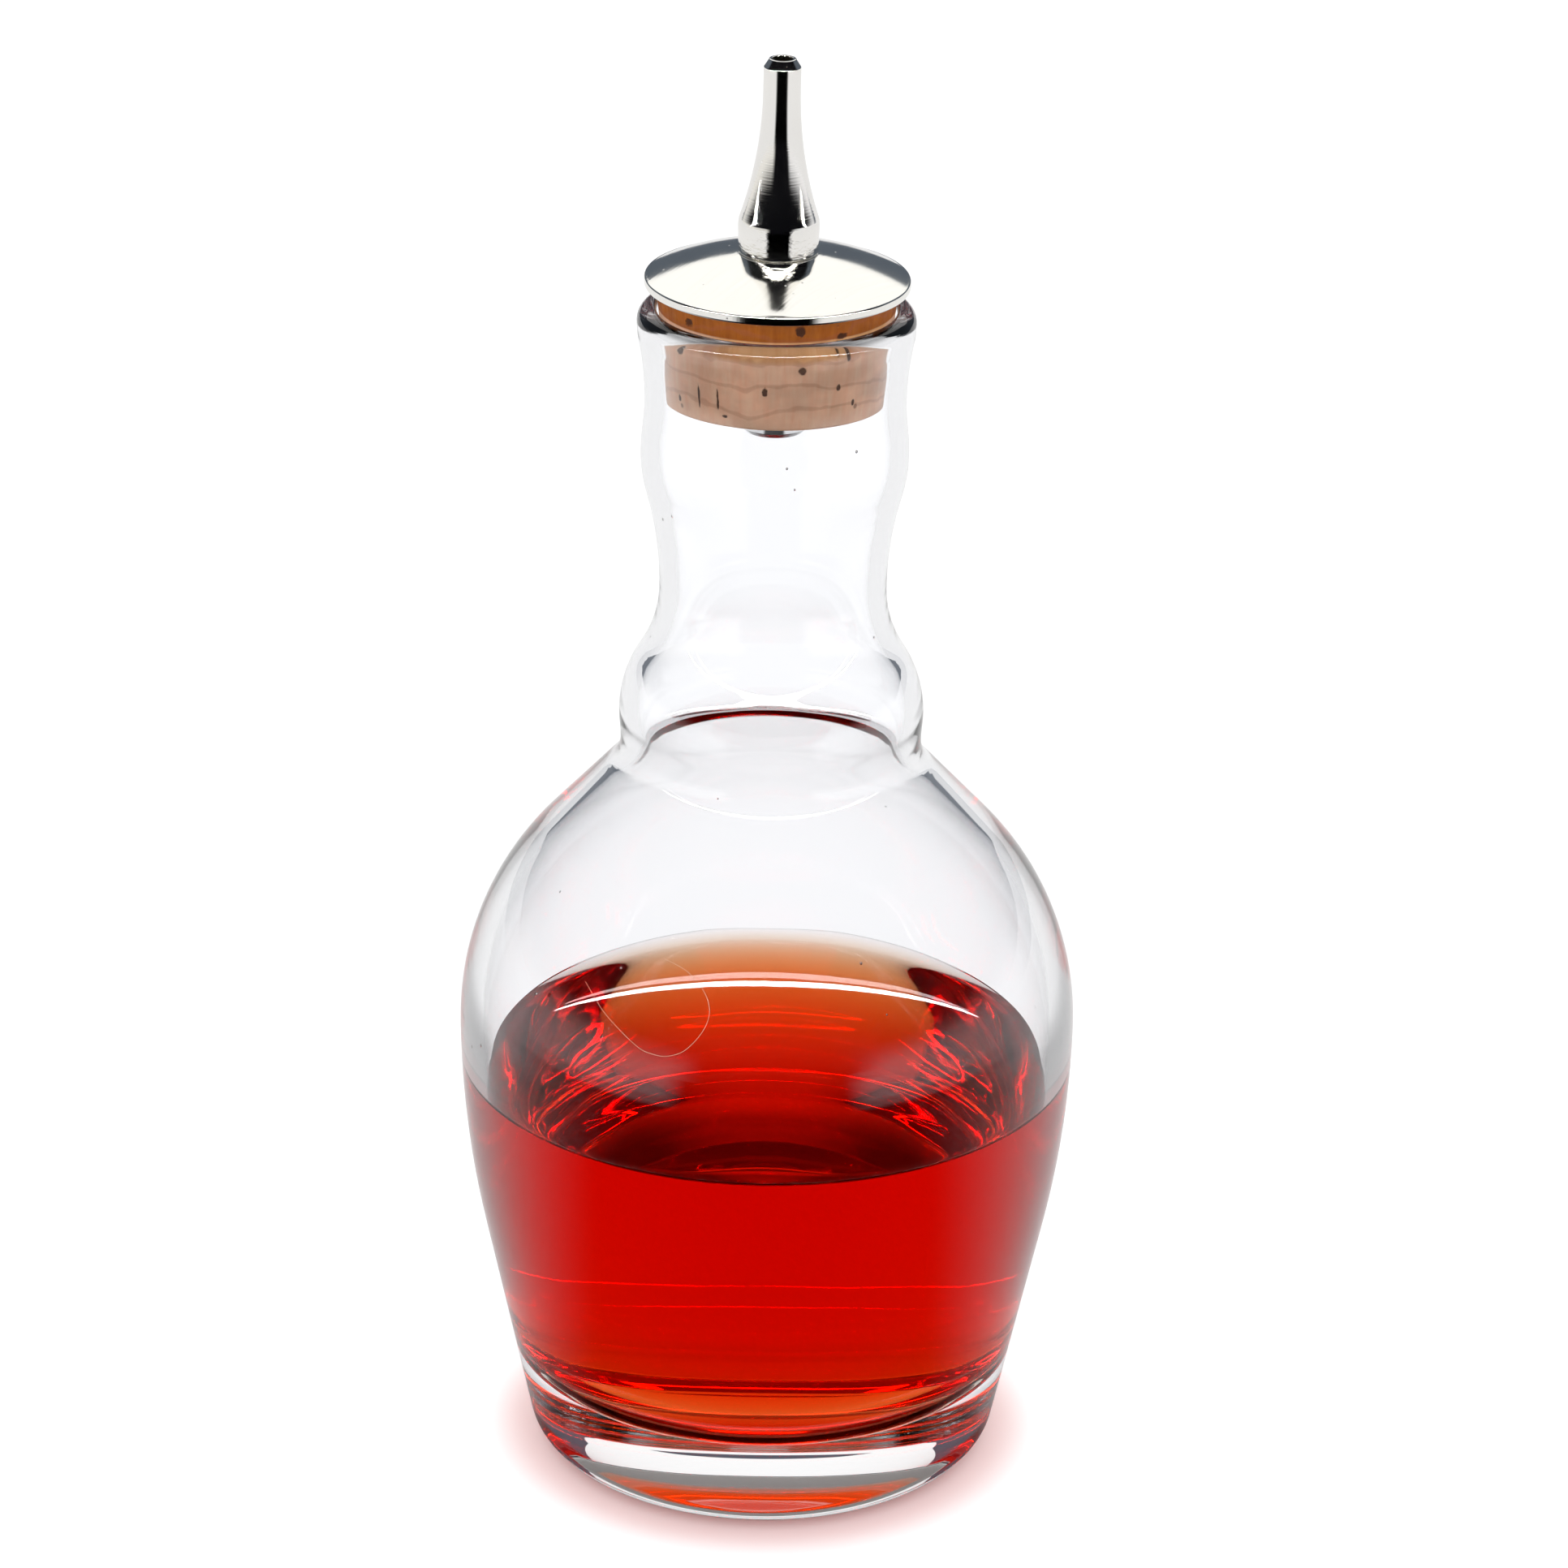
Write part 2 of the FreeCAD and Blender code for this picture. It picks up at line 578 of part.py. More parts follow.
for item in document.Objects:
    check(item)
os.makedirs("parts", exist_ok=True)
for piece in pieces:
    shape = piece.Shape
    if shape.isNull() or not shape.isValid() or len(shape.Solids) != 1:
        raise RuntimeError("%s has no sound shape" % piece.Label)
    shape.exportStep("parts/%s.step" % piece.Label)
    box = shape.optimalBoundingBox()
    print("%-14s volume %9.1f mm3  radius %6.2f  z %7.2f to %7.2f" % (
        piece.Label, shape.Volume, box.XMax, box.ZMin, box.ZMax))
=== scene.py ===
# %% [markdown]
# # A bitters bottle
# The object is a round glass bottle, half full of a clear red drink.  A cork sits in its mouth and
# carries a domed metal disc and a slender turned spout.  Every piece was turned or blown round one
# axis, so the whole lesson rests on one idea: read the outline of each piece from the exact model,
# turn that outline into a fine smooth mesh, and then spend the effort on glass, liquid, cork and metal.

# %% Load the frame
import math

import bmesh
import bpy
import numpy as np
from mathutils import Matrix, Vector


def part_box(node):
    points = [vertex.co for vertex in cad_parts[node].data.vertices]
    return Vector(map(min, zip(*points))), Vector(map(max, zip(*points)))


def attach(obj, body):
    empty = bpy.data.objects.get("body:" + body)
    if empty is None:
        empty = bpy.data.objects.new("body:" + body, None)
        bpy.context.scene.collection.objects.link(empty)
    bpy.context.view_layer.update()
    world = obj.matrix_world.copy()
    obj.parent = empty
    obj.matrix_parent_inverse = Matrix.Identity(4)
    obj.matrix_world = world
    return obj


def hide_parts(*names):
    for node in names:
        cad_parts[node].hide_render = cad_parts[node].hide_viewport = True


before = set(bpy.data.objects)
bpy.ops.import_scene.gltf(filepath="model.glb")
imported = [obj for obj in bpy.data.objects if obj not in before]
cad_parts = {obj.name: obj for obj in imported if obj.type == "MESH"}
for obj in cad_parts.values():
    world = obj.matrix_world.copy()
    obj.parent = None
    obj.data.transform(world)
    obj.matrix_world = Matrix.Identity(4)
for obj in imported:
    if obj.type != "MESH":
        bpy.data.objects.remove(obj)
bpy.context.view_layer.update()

MM = 0.001

# %% [markdown]
# ## The camera
# A long lens stands in front of the bottle and looks down on it.  Its place is given as a distance
# and a height, and the whole picture is rolled by less than a degree, as a hand-set tripod would be.

# %% Camera
LENS_MM = 128.57
CAMERA_SIDE, CAMERA_DISTANCE, CAMERA_HEIGHT = 0.0016, 0.5964, 0.3355
CAMERA_DIP, CAMERA_ROLL = math.radians(22.93), math.radians(0.88)

camera = bpy.data.objects.new("camera", bpy.data.cameras.new("camera"))
camera.data.lens = LENS_MM
camera.location = (CAMERA_SIDE, -CAMERA_DISTANCE, CAMERA_HEIGHT)
aim = Matrix.Rotation(math.pi / 2 - CAMERA_DIP, 4, "X") @ Matrix.Rotation(CAMERA_ROLL, 4, "Z")
camera.rotation_euler = aim.to_euler()
bpy.context.collection.objects.link(camera)
bpy.context.scene.camera = camera
print("camera looks down by", round(math.degrees(CAMERA_DIP), 1), "degrees")

# %% [markdown]
# ## A small language for node trees
# Shader and geometry trees are built from the same two moves: add a node, and feed its inputs.
# `wire` does both at once.  An input may be a plain value or another node's output, so a tree
# reads from top to bottom like a recipe.  `calc` is the same for a Math node.

# %% Helpers for node trees
def wire(tree, kind, inputs=(), **settings):
    """Add a node, set its properties and feed its inputs with values or with other outputs."""
    node = tree.nodes.new(kind)
    for name, value in settings.items():
        setattr(node, name, value)
    for key, value in dict(inputs).items():
        if isinstance(value, bpy.types.NodeSocket):
            tree.links.new(value, node.inputs[key])
        else:
            node.inputs[key].default_value = value
    return node


def calc(tree, operation, *values):
    """One Math node: calc(tree, 'ADD', a, b) gives the socket that holds a + b."""
    return wire(tree, "ShaderNodeMath", dict(enumerate(values)), operation=operation).outputs[0]


def times(tree, *values):
    """The product of two or more values."""
    product = values[0]
    for value in values[1:]:
        product = calc(tree, "MULTIPLY", product, value)
    return product


print("adding, feeding and multiplying are ready")

# %% [markdown]
# ## Steps, windows and mixtures
# Three more moves turn up in every tree: a soft step from one value to another, a window with soft
# edges, and a mixture of two values or two colours.  `new_finish` opens a material with its shader.

# %% Helpers for mixing
def ramp_between(tree, value, low, high, start=0.0, end=1.0):
    """A smooth step: start below low, end above high."""
    inputs = {"Value": value, "From Min": low, "From Max": high, "To Min": start, "To Max": end}
    node = wire(tree, "ShaderNodeMapRange", inputs, interpolation_type="SMOOTHSTEP")
    return node.outputs["Result"]


def window(tree, value, low, high, feather):
    """1 inside low to high, 0 outside, with soft edges."""
    rise = ramp_between(tree, value, low - feather, low + feather)
    fall = ramp_between(tree, value, high - feather, high + feather, 1.0, 0.0)
    return times(tree, rise, fall)


def choose(tree, factor, first, second):
    """The first value where the factor is 0, the second where it is 1."""
    return wire(tree, "ShaderNodeMix", {0: factor, 2: first, 3: second}).outputs[0]


def blend_colours(tree, factor, first, second):
    """The same for two colours."""
    return wire(tree, "ShaderNodeMix", {0: factor, 6: first, 7: second}, data_type="RGBA").outputs[2]


def new_finish(name):
    """An empty material with one Principled shader wired to its output."""
    material = bpy.data.materials.new(name)
    material.use_nodes = True
    tree = material.node_tree
    tree.nodes.clear()
    output = tree.nodes.new("ShaderNodeOutputMaterial")
    shader = wire(tree, "ShaderNodeBsdfPrincipled")
    tree.links.new(shader.outputs["BSDF"], output.inputs["Surface"])
    return material, tree, shader, output


print("steps, windows and mixtures are ready")

# %% [markdown]
# ## Patterns that follow the object
# Every pattern reads the object's own coordinates, in metres, so it stays where it is when the piece
# is moved or looked at from another side.  A pattern in one direction is noise on stretched
# coordinates, and specks are the middles of a few cells of a Voronoi pattern.

# %% Helpers for patterns
def object_place(tree):
    return tree.nodes.new("ShaderNodeTexCoord").outputs["Object"]


def stretched(tree, place, scale, turn=0.0):
    """Object coordinates, turned about the vertical axis and then scaled along each axis."""
    turning = wire(tree, "ShaderNodeVectorRotate", {"Vector": place, "Angle": turn}, rotation_type="Z_AXIS")
    scaling = {0: turning.outputs[0], 1: scale}
    return wire(tree, "ShaderNodeVectorMath", scaling, operation="MULTIPLY").outputs["Vector"]


def noise(tree, vector, scale, detail=2.0, roughness=0.5):
    inputs = {"Vector": vector, "Scale": scale, "Detail": detail, "Roughness": roughness}
    return wire(tree, "ShaderNodeTexNoise", inputs).outputs[0]


def bumped(tree, shader, height, distance, strength=1.0):
    """Feed a height pattern to a shader as fine relief."""
    bump = wire(tree, "ShaderNodeBump", {"Strength": strength, "Distance": distance, "Height": height})
    tree.links.new(bump.outputs[0], shader.inputs["Normal"])


def specks(tree, place, scale, share):
    """Sparse dots: the middles of some cells of a Voronoi pattern."""
    cell = wire(tree, "ShaderNodeTexVoronoi", {"Vector": place, "Scale": scale})
    chosen = wire(tree, "ShaderNodeSeparateColor", {0: cell.outputs["Color"]}).outputs[0]
    dot = ramp_between(tree, cell.outputs["Distance"], 0.08, 0.16, 1.0, 0.0)
    return times(tree, dot, calc(tree, "LESS_THAN", chosen, share))


print("pattern helpers are ready")

# %% [markdown]
# ## What a ray has been through
# A ray of light remembers how often it was mirrored and how many skins it has crossed.  The studio
# below uses that memory to tell kinds of rays apart: those that come straight from the eye, those
# that light a matt surface, those mirrored by the drink's surface, and those that went through the
# drink or were turned back inside it.

# %% Kinds of rays
SURFACE_SKINS = 4.0
TURNED_BACK_SKINS = 7.5


def straight_on(tree):
    """1 for a ray that comes from the eye, or through clear glass, with no reflection on its way."""
    path = tree.nodes.new("ShaderNodeLightPath").outputs
    seen = calc(tree, "MAXIMUM", path["Is Camera Ray"], path["Is Transmission Ray"])
    turned = calc(tree, "ADD", path["Glossy Depth"], path["Diffuse Depth"])
    return times(tree, seen, calc(tree, "LESS_THAN", turned, 0.5))


def for_matt_surfaces(tree):
    """1 for light that a matt surface gathers, whether it is sampled or found by a bounce."""
    path = tree.nodes.new("ShaderNodeLightPath").outputs
    seen = calc(tree, "MAXIMUM", path["Is Camera Ray"], path["Is Transmission Ray"])
    found = calc(tree, "MAXIMUM", seen, path["Is Glossy Ray"])
    bounced = calc(tree, "GREATER_THAN", path["Diffuse Depth"], 0.5)
    return calc(tree, "MAXIMUM", bounced, calc(tree, "SUBTRACT", 1.0, found))


def skins_crossed(tree):
    return tree.nodes.new("ShaderNodeLightPath").outputs["Transmission Depth"]


def off_the_surface(tree):
    """1 for a ray mirrored by the drink's surface: it crosses the two skins of the wall twice."""
    return calc(tree, "COMPARE", skins_crossed(tree), SURFACE_SKINS, 0.5)


def through_the_drink(tree):
    """1 for a ray that has crossed more skins than that, so part of its way was in the drink."""
    return calc(tree, "GREATER_THAN", skins_crossed(tree), SURFACE_SKINS + 0.5)


def caught_in_the_drink(tree):
    """1 for a ray that has also been turned back at the wall behind the drink."""
    return calc(tree, "GREATER_THAN", skins_crossed(tree), TURNED_BACK_SKINS)


print("a ray mirrored by the drink has crossed", int(SURFACE_SKINS), "skins")

# %% [markdown]
# ## The studio
# Glass and polished metal have almost no colour of their own: they show the room.  A large light
# bank hangs behind the bottle and leans over it.  Everything else in the room is painted on the
# world by direction: a pale screen at each side, a dark gap where the camera stands, a blue-grey
# haze low at the back, and one thin tube of light high in front, whose reflection is the white arc
# on the bottle's shoulder.  Rays that go straight to the room, or straight through clear glass,
# find plain white there; rays that were mirrored on the way find the painted room; and matt
# surfaces, such as the table and the cork, are lit by an even fill.

# %% World
WHITE = (1.0, 1.0, 1.0, 1.0)
ROOM_DARK = (0.002, 0.002, 0.003, 1.0)
BACK_HAZE = (0.10, 0.118, 0.145, 1.0)
LEFT_SCREEN = (0.86, 0.85, 0.82, 1.0)
RIGHT_SCREEN = (0.90, 0.90, 0.92, 1.0)
FRONT_TUBE = (60.0, 60.0, 60.0, 1.0)
FILL = (0.95, 0.95, 0.96, 1.0)
INNER_GLOW = (0.85, 0.85, 0.85, 1.0)
CAUGHT_GLOW = (0.16, 0.16, 0.17, 1.0)

# Where each part of the room lies, as low, high and softness of edge, in degrees.
HAZE_BEARING = (-75.0, 75.0, 10.0)
LEFT_BEARING = (-150.0, -52.0, 8.0)
RIGHT_BEARING = (60.0, 140.0, 8.0)
SCREEN_CLIMB = (-60.0, 4.0, 5.0)
TUBE_CLIMB = (38.6, 40.6, 0.15)
TUBE_ENDS = (93.0, 96.0)


def paint_room(tree):
    """The room's light by the direction of the ray: its bearing from the back, and its climb."""
    direction = tree.nodes.new("ShaderNodeTexCoord").outputs["Generated"]
    x, y, z = wire(tree, "ShaderNodeSeparateXYZ", {0: direction}).outputs[:3]
    bearing = calc(tree, "DEGREES", calc(tree, "ARCTAN2", x, y))
    climb = calc(tree, "DEGREES", calc(tree, "ARCSINE", z))
    over_front = calc(tree, "DEGREES", calc(tree, "ARCTAN2", z, times(tree, y, -1.0)))
    screen_height = window(tree, climb, *SCREEN_CLIMB)
    tube_length = ramp_between(tree, calc(tree, "ABSOLUTE", bearing), *TUBE_ENDS)
    in_drink = calc(tree, "MAXIMUM", off_the_surface(tree), through_the_drink(tree))
    haze_seen = calc(tree, "SUBTRACT", 1.0, in_drink)
    screens = [
        (INNER_GLOW, through_the_drink(tree)),
        (CAUGHT_GLOW, caught_in_the_drink(tree)),
        (BACK_HAZE, times(tree, window(tree, bearing, *HAZE_BEARING), haze_seen)),
        (LEFT_SCREEN, times(tree, window(tree, bearing, *LEFT_BEARING), screen_height)),
        (RIGHT_SCREEN, times(tree, window(tree, bearing, *RIGHT_BEARING), screen_height)),
        (FRONT_TUBE, times(tree, window(tree, over_front, *TUBE_CLIMB), tube_length)),
    ]
    light = ROOM_DARK
    for colour, mask in screens:
        light = blend_colours(tree, mask, light, colour)
    return light


def make_world():
    world = bpy.data.worlds.new("studio")
    world.use_nodes = True
    tree = world.node_tree
    tree.nodes.clear()
    painted = blend_colours(tree, for_matt_surfaces(tree), paint_room(tree), FILL)
    room = wire(tree, "ShaderNodeBackground", {"Color": painted, "Strength": 1.0})
    white = wire(tree, "ShaderNodeBackground", {"Color": WHITE, "Strength": 1.0})
    mix = wire(tree, "ShaderNodeMixShader", {0: straight_on(tree), 1: room.outputs[0], 2: white.outputs[0]})
    output = tree.nodes.new("ShaderNodeOutputWorld")
    tree.links.new(mix.outputs[0], output.inputs["Surface"])
    bpy.context.scene.world = world


make_world()
print("the front tube is", FRONT_TUBE[0], "times as bright as white paper")

# %% [markdown]
# ## Colour and light paths
# Colours are shown as they are, without a film look.  A ray that is caught inside the drink or the
# wall is turned many times before it gets out, and would end black if it were stopped too soon, so
# rays are given more turns than usual.

# %% Colour and light paths
MOST_TURNS = 32

scene = bpy.context.scene
scene.view_settings.view_transform = "Standard"
scene.cycles.max_bounces = MOST_TURNS
scene.cycles.transmission_bounces = MOST_TURNS
scene.cycles.glossy_bounces = MOST_TURNS
print("a ray may turn", MOST_TURNS, "times")

# %% [markdown]
# ## The light bank
# The bank is a real sheet of light at a real distance.  It hangs low behind the bottle, and cards
# keep its lowest part away from two things that would only show its glare: the metal of the
# stopper, and the level surface of the drink.  A card that hides the bank from one thing and not
# from another is written here as a foot height that depends on the path of the ray.

# %% Light bank
BANK_LIGHT = 1.12
BANK_AWAY, BANK_HALF = 0.62, 0.42
BANK_TOP = (0.02, 0.95)
BANK_LOW_EDGE = 0.15
FOOT_FOR_METAL, FOOT_FOR_SURFACE, FOOT_FOR_GLASS = 0.372, 0.47, 0.20
BANK_COLOUR = (1.0, 0.995, 0.975, 1.0)


def staged(name, corners, faces, material):
    """A sheet of the studio, not part of the bottle."""
    mesh = bpy.data.meshes.new(name)
    mesh.from_pydata(corners, [], faces)
    mesh.materials.append(material)
    sheet = bpy.data.objects.new(name, mesh)
    bpy.context.collection.objects.link(sheet)


def foot_of_bank(tree):
    """How low the bank reaches for this ray."""
    path = tree.nodes.new("ShaderNodeLightPath").outputs
    in_glass = choose(tree, off_the_surface(tree), FOOT_FOR_GLASS, FOOT_FOR_SURFACE)
    return choose(tree, path["Is Transmission Ray"], FOOT_FOR_METAL, in_glass)


def make_bank():
    material, tree, _, output = new_finish("bank_light")
    geometry = tree.nodes.new("ShaderNodeNewGeometry").outputs
    height = wire(tree, "ShaderNodeSeparateXYZ", {0: geometry["Position"]}).outputs[2]
    over_foot = calc(tree, "GREATER_THAN", height, foot_of_bank(tree))
    lit = times(tree, over_foot, calc(tree, "SUBTRACT", 1.0, geometry["Backfacing"]))
    glow = wire(tree, "ShaderNodeEmission", {"Color": BANK_COLOUR, "Strength": BANK_LIGHT})
    clear = wire(tree, "ShaderNodeBsdfTransparent", {"Color": WHITE})
    mix = wire(tree, "ShaderNodeMixShader", {0: lit, 1: clear.outputs[0], 2: glow.outputs[0]})
    tree.links.new(mix.outputs[0], output.inputs["Surface"])
    half, bend = BANK_HALF, FOOT_FOR_METAL
    corners = [
        (-half, BANK_AWAY, BANK_LOW_EDGE), (half, BANK_AWAY, BANK_LOW_EDGE),
        (half, BANK_AWAY, bend), (-half, BANK_AWAY, bend),
        (half, *BANK_TOP), (-half, *BANK_TOP),
    ]
    staged("light_bank", corners, [(0, 1, 2, 3), (3, 2, 4, 5)], material)
    print("the bank's foot stands", FOOT_FOR_GLASS, "m over the table, for metal", FOOT_FOR_METAL, "m")


make_bank()

# %% [markdown]
# ## The table
# A plain white sheet, lit by the room, that keeps the bottle's soft shadow and the red glow of the
# drink, helped close to the foot by a painted pink glow.  A little white is added, only for rays that
# come straight from the eye or through clear glass: most near the bottle, where the sheet gets less
# light and the added white is painted light, less far off, and least under the foot, where the shadow
# stays.  Seen through the drink, the sheet is painted greyer to the sides, as painted shade.  In
# reflections the sheet close to the bottle is painted dark, as a black card laid out of sight would
# make it: without that, its glare on the glass would wash out the red.

# %% Table values
TABLE_HALF, TABLE_DROP = 3.0, 0.05 * MM
TABLE_WHITE = (0.90, 0.90, 0.90, 1.0)
BLACK = (0.0, 0.0, 0.0, 1.0)
# A painted pink glow: close to the foot the sheet's added white turns this colour, over the red light that
# the drink really throws.
PAINTED_PINK_GLOW = (1.0, 0.50, 0.47, 1.0)

# How much white is added to the sheet, far off, near by and through glass; near by it is painted light over
# the bottle's shade.
LIFT_FAR, PAINTED_LIFT_NEAR, LIFT_THROUGH_GLASS = 0.21, 0.50, 0.26
LIFT_NEAR_ENDS = (0.045, 0.15)
SHADE_UNDER_FOOT = (0.022, 0.034, 0.3, 1.0)
PAINTED_GLOW_ENDS = (0.028, 0.034)

# Painted shade: how grey the sheet is to the sides, seen through the drink, by bearing in degrees.
PAINTED_SIDE_SHADE = (4.0, 42.0, 1.0, 0.25)

# What reflections find, painted on the sheet: a dark card near the bottle, and how white the sheet is to rays
# out of the drink.
CARD_RADIUS, CARD_EDGE, CARD_GREY = 0.165, 0.03, 0.45
FAR_SHEET = (0.27, 0.33)
BESIDE_BOTTLE = (60.0, 125.0, 1.0, 0.0)
BEHIND_CAMERA = (140.0, 152.0, 1.0, 0.0)
INNER_TABLE, CAUGHT_TABLE = 0.90, 0.20

print("the dark card ends", round((CARD_RADIUS + CARD_EDGE) / MM), "mm from the bottle's axis")

# %% [markdown]
# ## What the table shows to each ray
# The sheet's material asks two questions: how far from the bottle and on which side is this point,
# and what kind of ray is looking?  Its colour comes from the answers, and the added white is a glow.

# %% Table material
def polar(tree):
    """A point of the table as its distance from the bottle and its bearing from the back, in degrees."""
    place = tree.nodes.new("ShaderNodeNewGeometry").outputs["Position"]
    split = wire(tree, "ShaderNodeSeparateXYZ", {0: place}).outputs
    away = wire(tree, "ShaderNodeVectorMath", {0: place}, operation="LENGTH").outputs["Value"]
    bearing = calc(tree, "ABSOLUTE", calc(tree, "DEGREES", calc(tree, "ARCTAN2", split[0], split[1])))
    return away, bearing


def table_in_reflections(tree, away, bearing, inside):
    """How white the table looks to a reflected ray: painted dark in front, and painted dark close to the
    bottle.
    """
    far = ramp_between(tree, away, *FAR_SHEET)
    beside_bottle = ramp_between(tree, bearing, *BESIDE_BOTTLE)
    behind_camera = ramp_between(tree, bearing, *BEHIND_CAMERA)
    off_skin = choose(tree, far, beside_bottle, behind_camera)
    beyond_card = ramp_between(tree, away, CARD_RADIUS - CARD_EDGE, CARD_RADIUS + CARD_EDGE, CARD_GREY, 1.0)
    inner = choose(tree, caught_in_the_drink(tree), INNER_TABLE, CAUGHT_TABLE)
    off_walls = choose(tree, through_the_drink(tree), times(tree, off_skin, beyond_card), inner)
    return choose(tree, inside, off_skin, off_walls)


def make_table_finish():
    material, tree, shader, _ = new_finish("table_white")
    path = tree.nodes.new("ShaderNodeLightPath").outputs
    straight = straight_on(tree)
    inside = calc(tree, "GREATER_THAN", path["Transmission Depth"], 0.5)
    away, bearing = polar(tree)

    # Seen through the drink the sheet is painted greyer to the sides, a painted shade on the sides of the
    # drink.
    side = choose(tree, through_the_drink(tree), 1.0, ramp_between(tree, bearing, *PAINTED_SIDE_SHADE))
    through = choose(tree, inside, straight, times(tree, straight, side))
    mirrored = table_in_reflections(tree, away, bearing, inside)
    mirrored = times(tree, mirrored, calc(tree, "SUBTRACT", 1.0, straight))
    shown = calc(tree, "MAXIMUM", calc(tree, "MAXIMUM", through, mirrored), for_matt_surfaces(tree))
    tree.links.new(blend_colours(tree, shown, BLACK, TABLE_WHITE), shader.inputs["Base Color"])
    shader.inputs["Roughness"].default_value = 0.9
    shader.inputs["Specular IOR Level"].default_value = 0.0

    # Close to the foot the added white turns pink: a painted glow round the foot.
    glow = blend_colours(tree, ramp_between(tree, away, *PAINTED_GLOW_ENDS), PAINTED_PINK_GLOW, WHITE)
    tree.links.new(glow, shader.inputs["Emission Color"])
    # Near the bottle more white is added, as painted light over the bottle's shade; under the foot less, so
    # the shadow stays.
    open_lift = ramp_between(tree, away, *LIFT_NEAR_ENDS, PAINTED_LIFT_NEAR, LIFT_FAR)
    open_lift = times(tree, open_lift, ramp_between(tree, away, *SHADE_UNDER_FOOT))
    lift = choose(tree, inside, open_lift, LIFT_THROUGH_GLASS)
    tree.links.new(times(tree, through, lift), shader.inputs["Emission Strength"])
    return material


def make_table():
    half = TABLE_HALF
    corners = [(x, y, -TABLE_DROP) for x, y in ((-half, -half), (half, -half), (half, half), (-half, half))]
    staged("table", corners, [(0, 1, 2, 3)], make_table_finish())
    print("the table is", 2 * half, "m wide")


make_table()

# %% [markdown]
# ## Reading an outline
# The exact model is made of triangles whose corners lie on level rings.  Grouping the corners by
# radius and height gives the rings, and the triangles' edges say which ring follows which.  Walking
# from ring to ring gives the outline in order, with no measuring by hand.  The stopper leans a
# little, so its pieces are stood upright first, and leaned again when they are finished.

# %% Outlines
MOUTH_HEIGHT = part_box("glass_bottle")[1].z
STOPPER_LEAN = math.radians(0.5)
LEAN = (
    Matrix.Translation((0, 0, MOUTH_HEIGHT))
    @ Matrix.Rotation(STOPPER_LEAN, 4, "Y")
    @ Matrix.Translation((0, 0, -MOUTH_HEIGHT))
)


def upright_corners(node, leans):
    """Radius and height of every corner of a CAD piece, stood upright."""
    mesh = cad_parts[node].data
    corners = np.empty(3 * len(mesh.vertices))
    mesh.vertices.foreach_get("co", corners)
    corners = corners.reshape(-1, 3)
    if leans:
        upright = np.array(LEAN.inverted())
        corners = corners @ upright[:3, :3].T + upright[:3, 3]
    return np.stack([np.hypot(corners[:, 0], corners[:, 1]), corners[:, 2]], axis=1)


print("the mouth is", round(MOUTH_HEIGHT / MM, 1), "mm up")

# %% [markdown]
# ## Walking the rings
# Corners that agree to a few thousandths of a millimetre belong to one ring.  The walk starts at an
# open end, or at the lowest ring if the outline is closed, and always steps to the nearest
# neighbour that it has not yet met.

# %% Walk the rings
SAME_RING = 0.004 * MM


def outline_of(node, flat, used):
    """The outline of a turned piece, walked from ring to ring over the corners in use."""
    rings, ring_of, grid = [], [], {}
    for point, in_use in zip(flat, used):
        if not in_use:
            ring_of.append(None)
            continue
        cell = tuple(np.floor(point / SAME_RING).astype(int))
        near = [grid.get((cell[0] + i, cell[1] + j)) for i in (-1, 0, 1) for j in (-1, 0, 1)]
        near = [index for index in near if index is not None]
        near = [index for index in near if np.hypot(*(rings[index] - point)) < SAME_RING]
        if near:
            ring_of.append(near[0])
        else:
            grid[cell] = len(rings)
            ring_of.append(len(rings))
            rings.append(point)
    neighbours = [set() for ring in rings]
    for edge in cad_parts[node].data.edges:
        one, other = ring_of[edge.vertices[0]], ring_of[edge.vertices[1]]
        if one != other and None not in (one, other):
            neighbours[one].add(other)
            neighbours[other].add(one)
    ends = [n for n in range(len(rings)) if len(neighbours[n]) == 1]
    order = [min(ends or range(len(rings)), key=lambda n: (rings[n][1], rings[n][0]))]
    while True:
        onward = [n for n in neighbours[order[-1]] if n not in order]
        if not onward:
            break
        order.append(min(onward, key=lambda n: np.hypot(*(rings[n] - rings[order[-1]]))))
    print(node, "has", len(rings), "rings,", len(order), "in order,", "open" if ends else "closed")
    return np.array([rings[n] for n in order]), not ends


def plain_outline(node):
    """A piece whose every corner lies on a ring."""
    flat = upright_corners(node, node != "liquid")
    return outline_of(node, flat, np.ones(len(flat), bool))


OUTLINES = {node: plain_outline(node) for node in ("liquid", "cork", "spout", "pour_tube")}

# %% [markdown]
# ## Two outlines with a ball in them
# The disc's domed face and the hollow under the bottle's foot are parts of a ball, whose corners don't
# lie on level rings.  There the ball is fitted to the corners, and the outline takes its true arc.

# %% Disc and bottle outlines
DOME_STEPS, HOLLOW_STEPS = 40, 24
SEAT_ABOUT = 5.5 * MM


def fitted_ball(corners):
    """Centre height and bend of the ball, centred on the axis, on which some corners lie."""
    terms = np.stack([2 * corners[:, 1], np.ones(len(corners))], axis=1)
    centre, rest = np.linalg.lstsq(terms, corners[:, 0] ** 2 + corners[:, 1] ** 2, rcond=None)[0]
    return centre, math.sqrt(rest + centre ** 2)


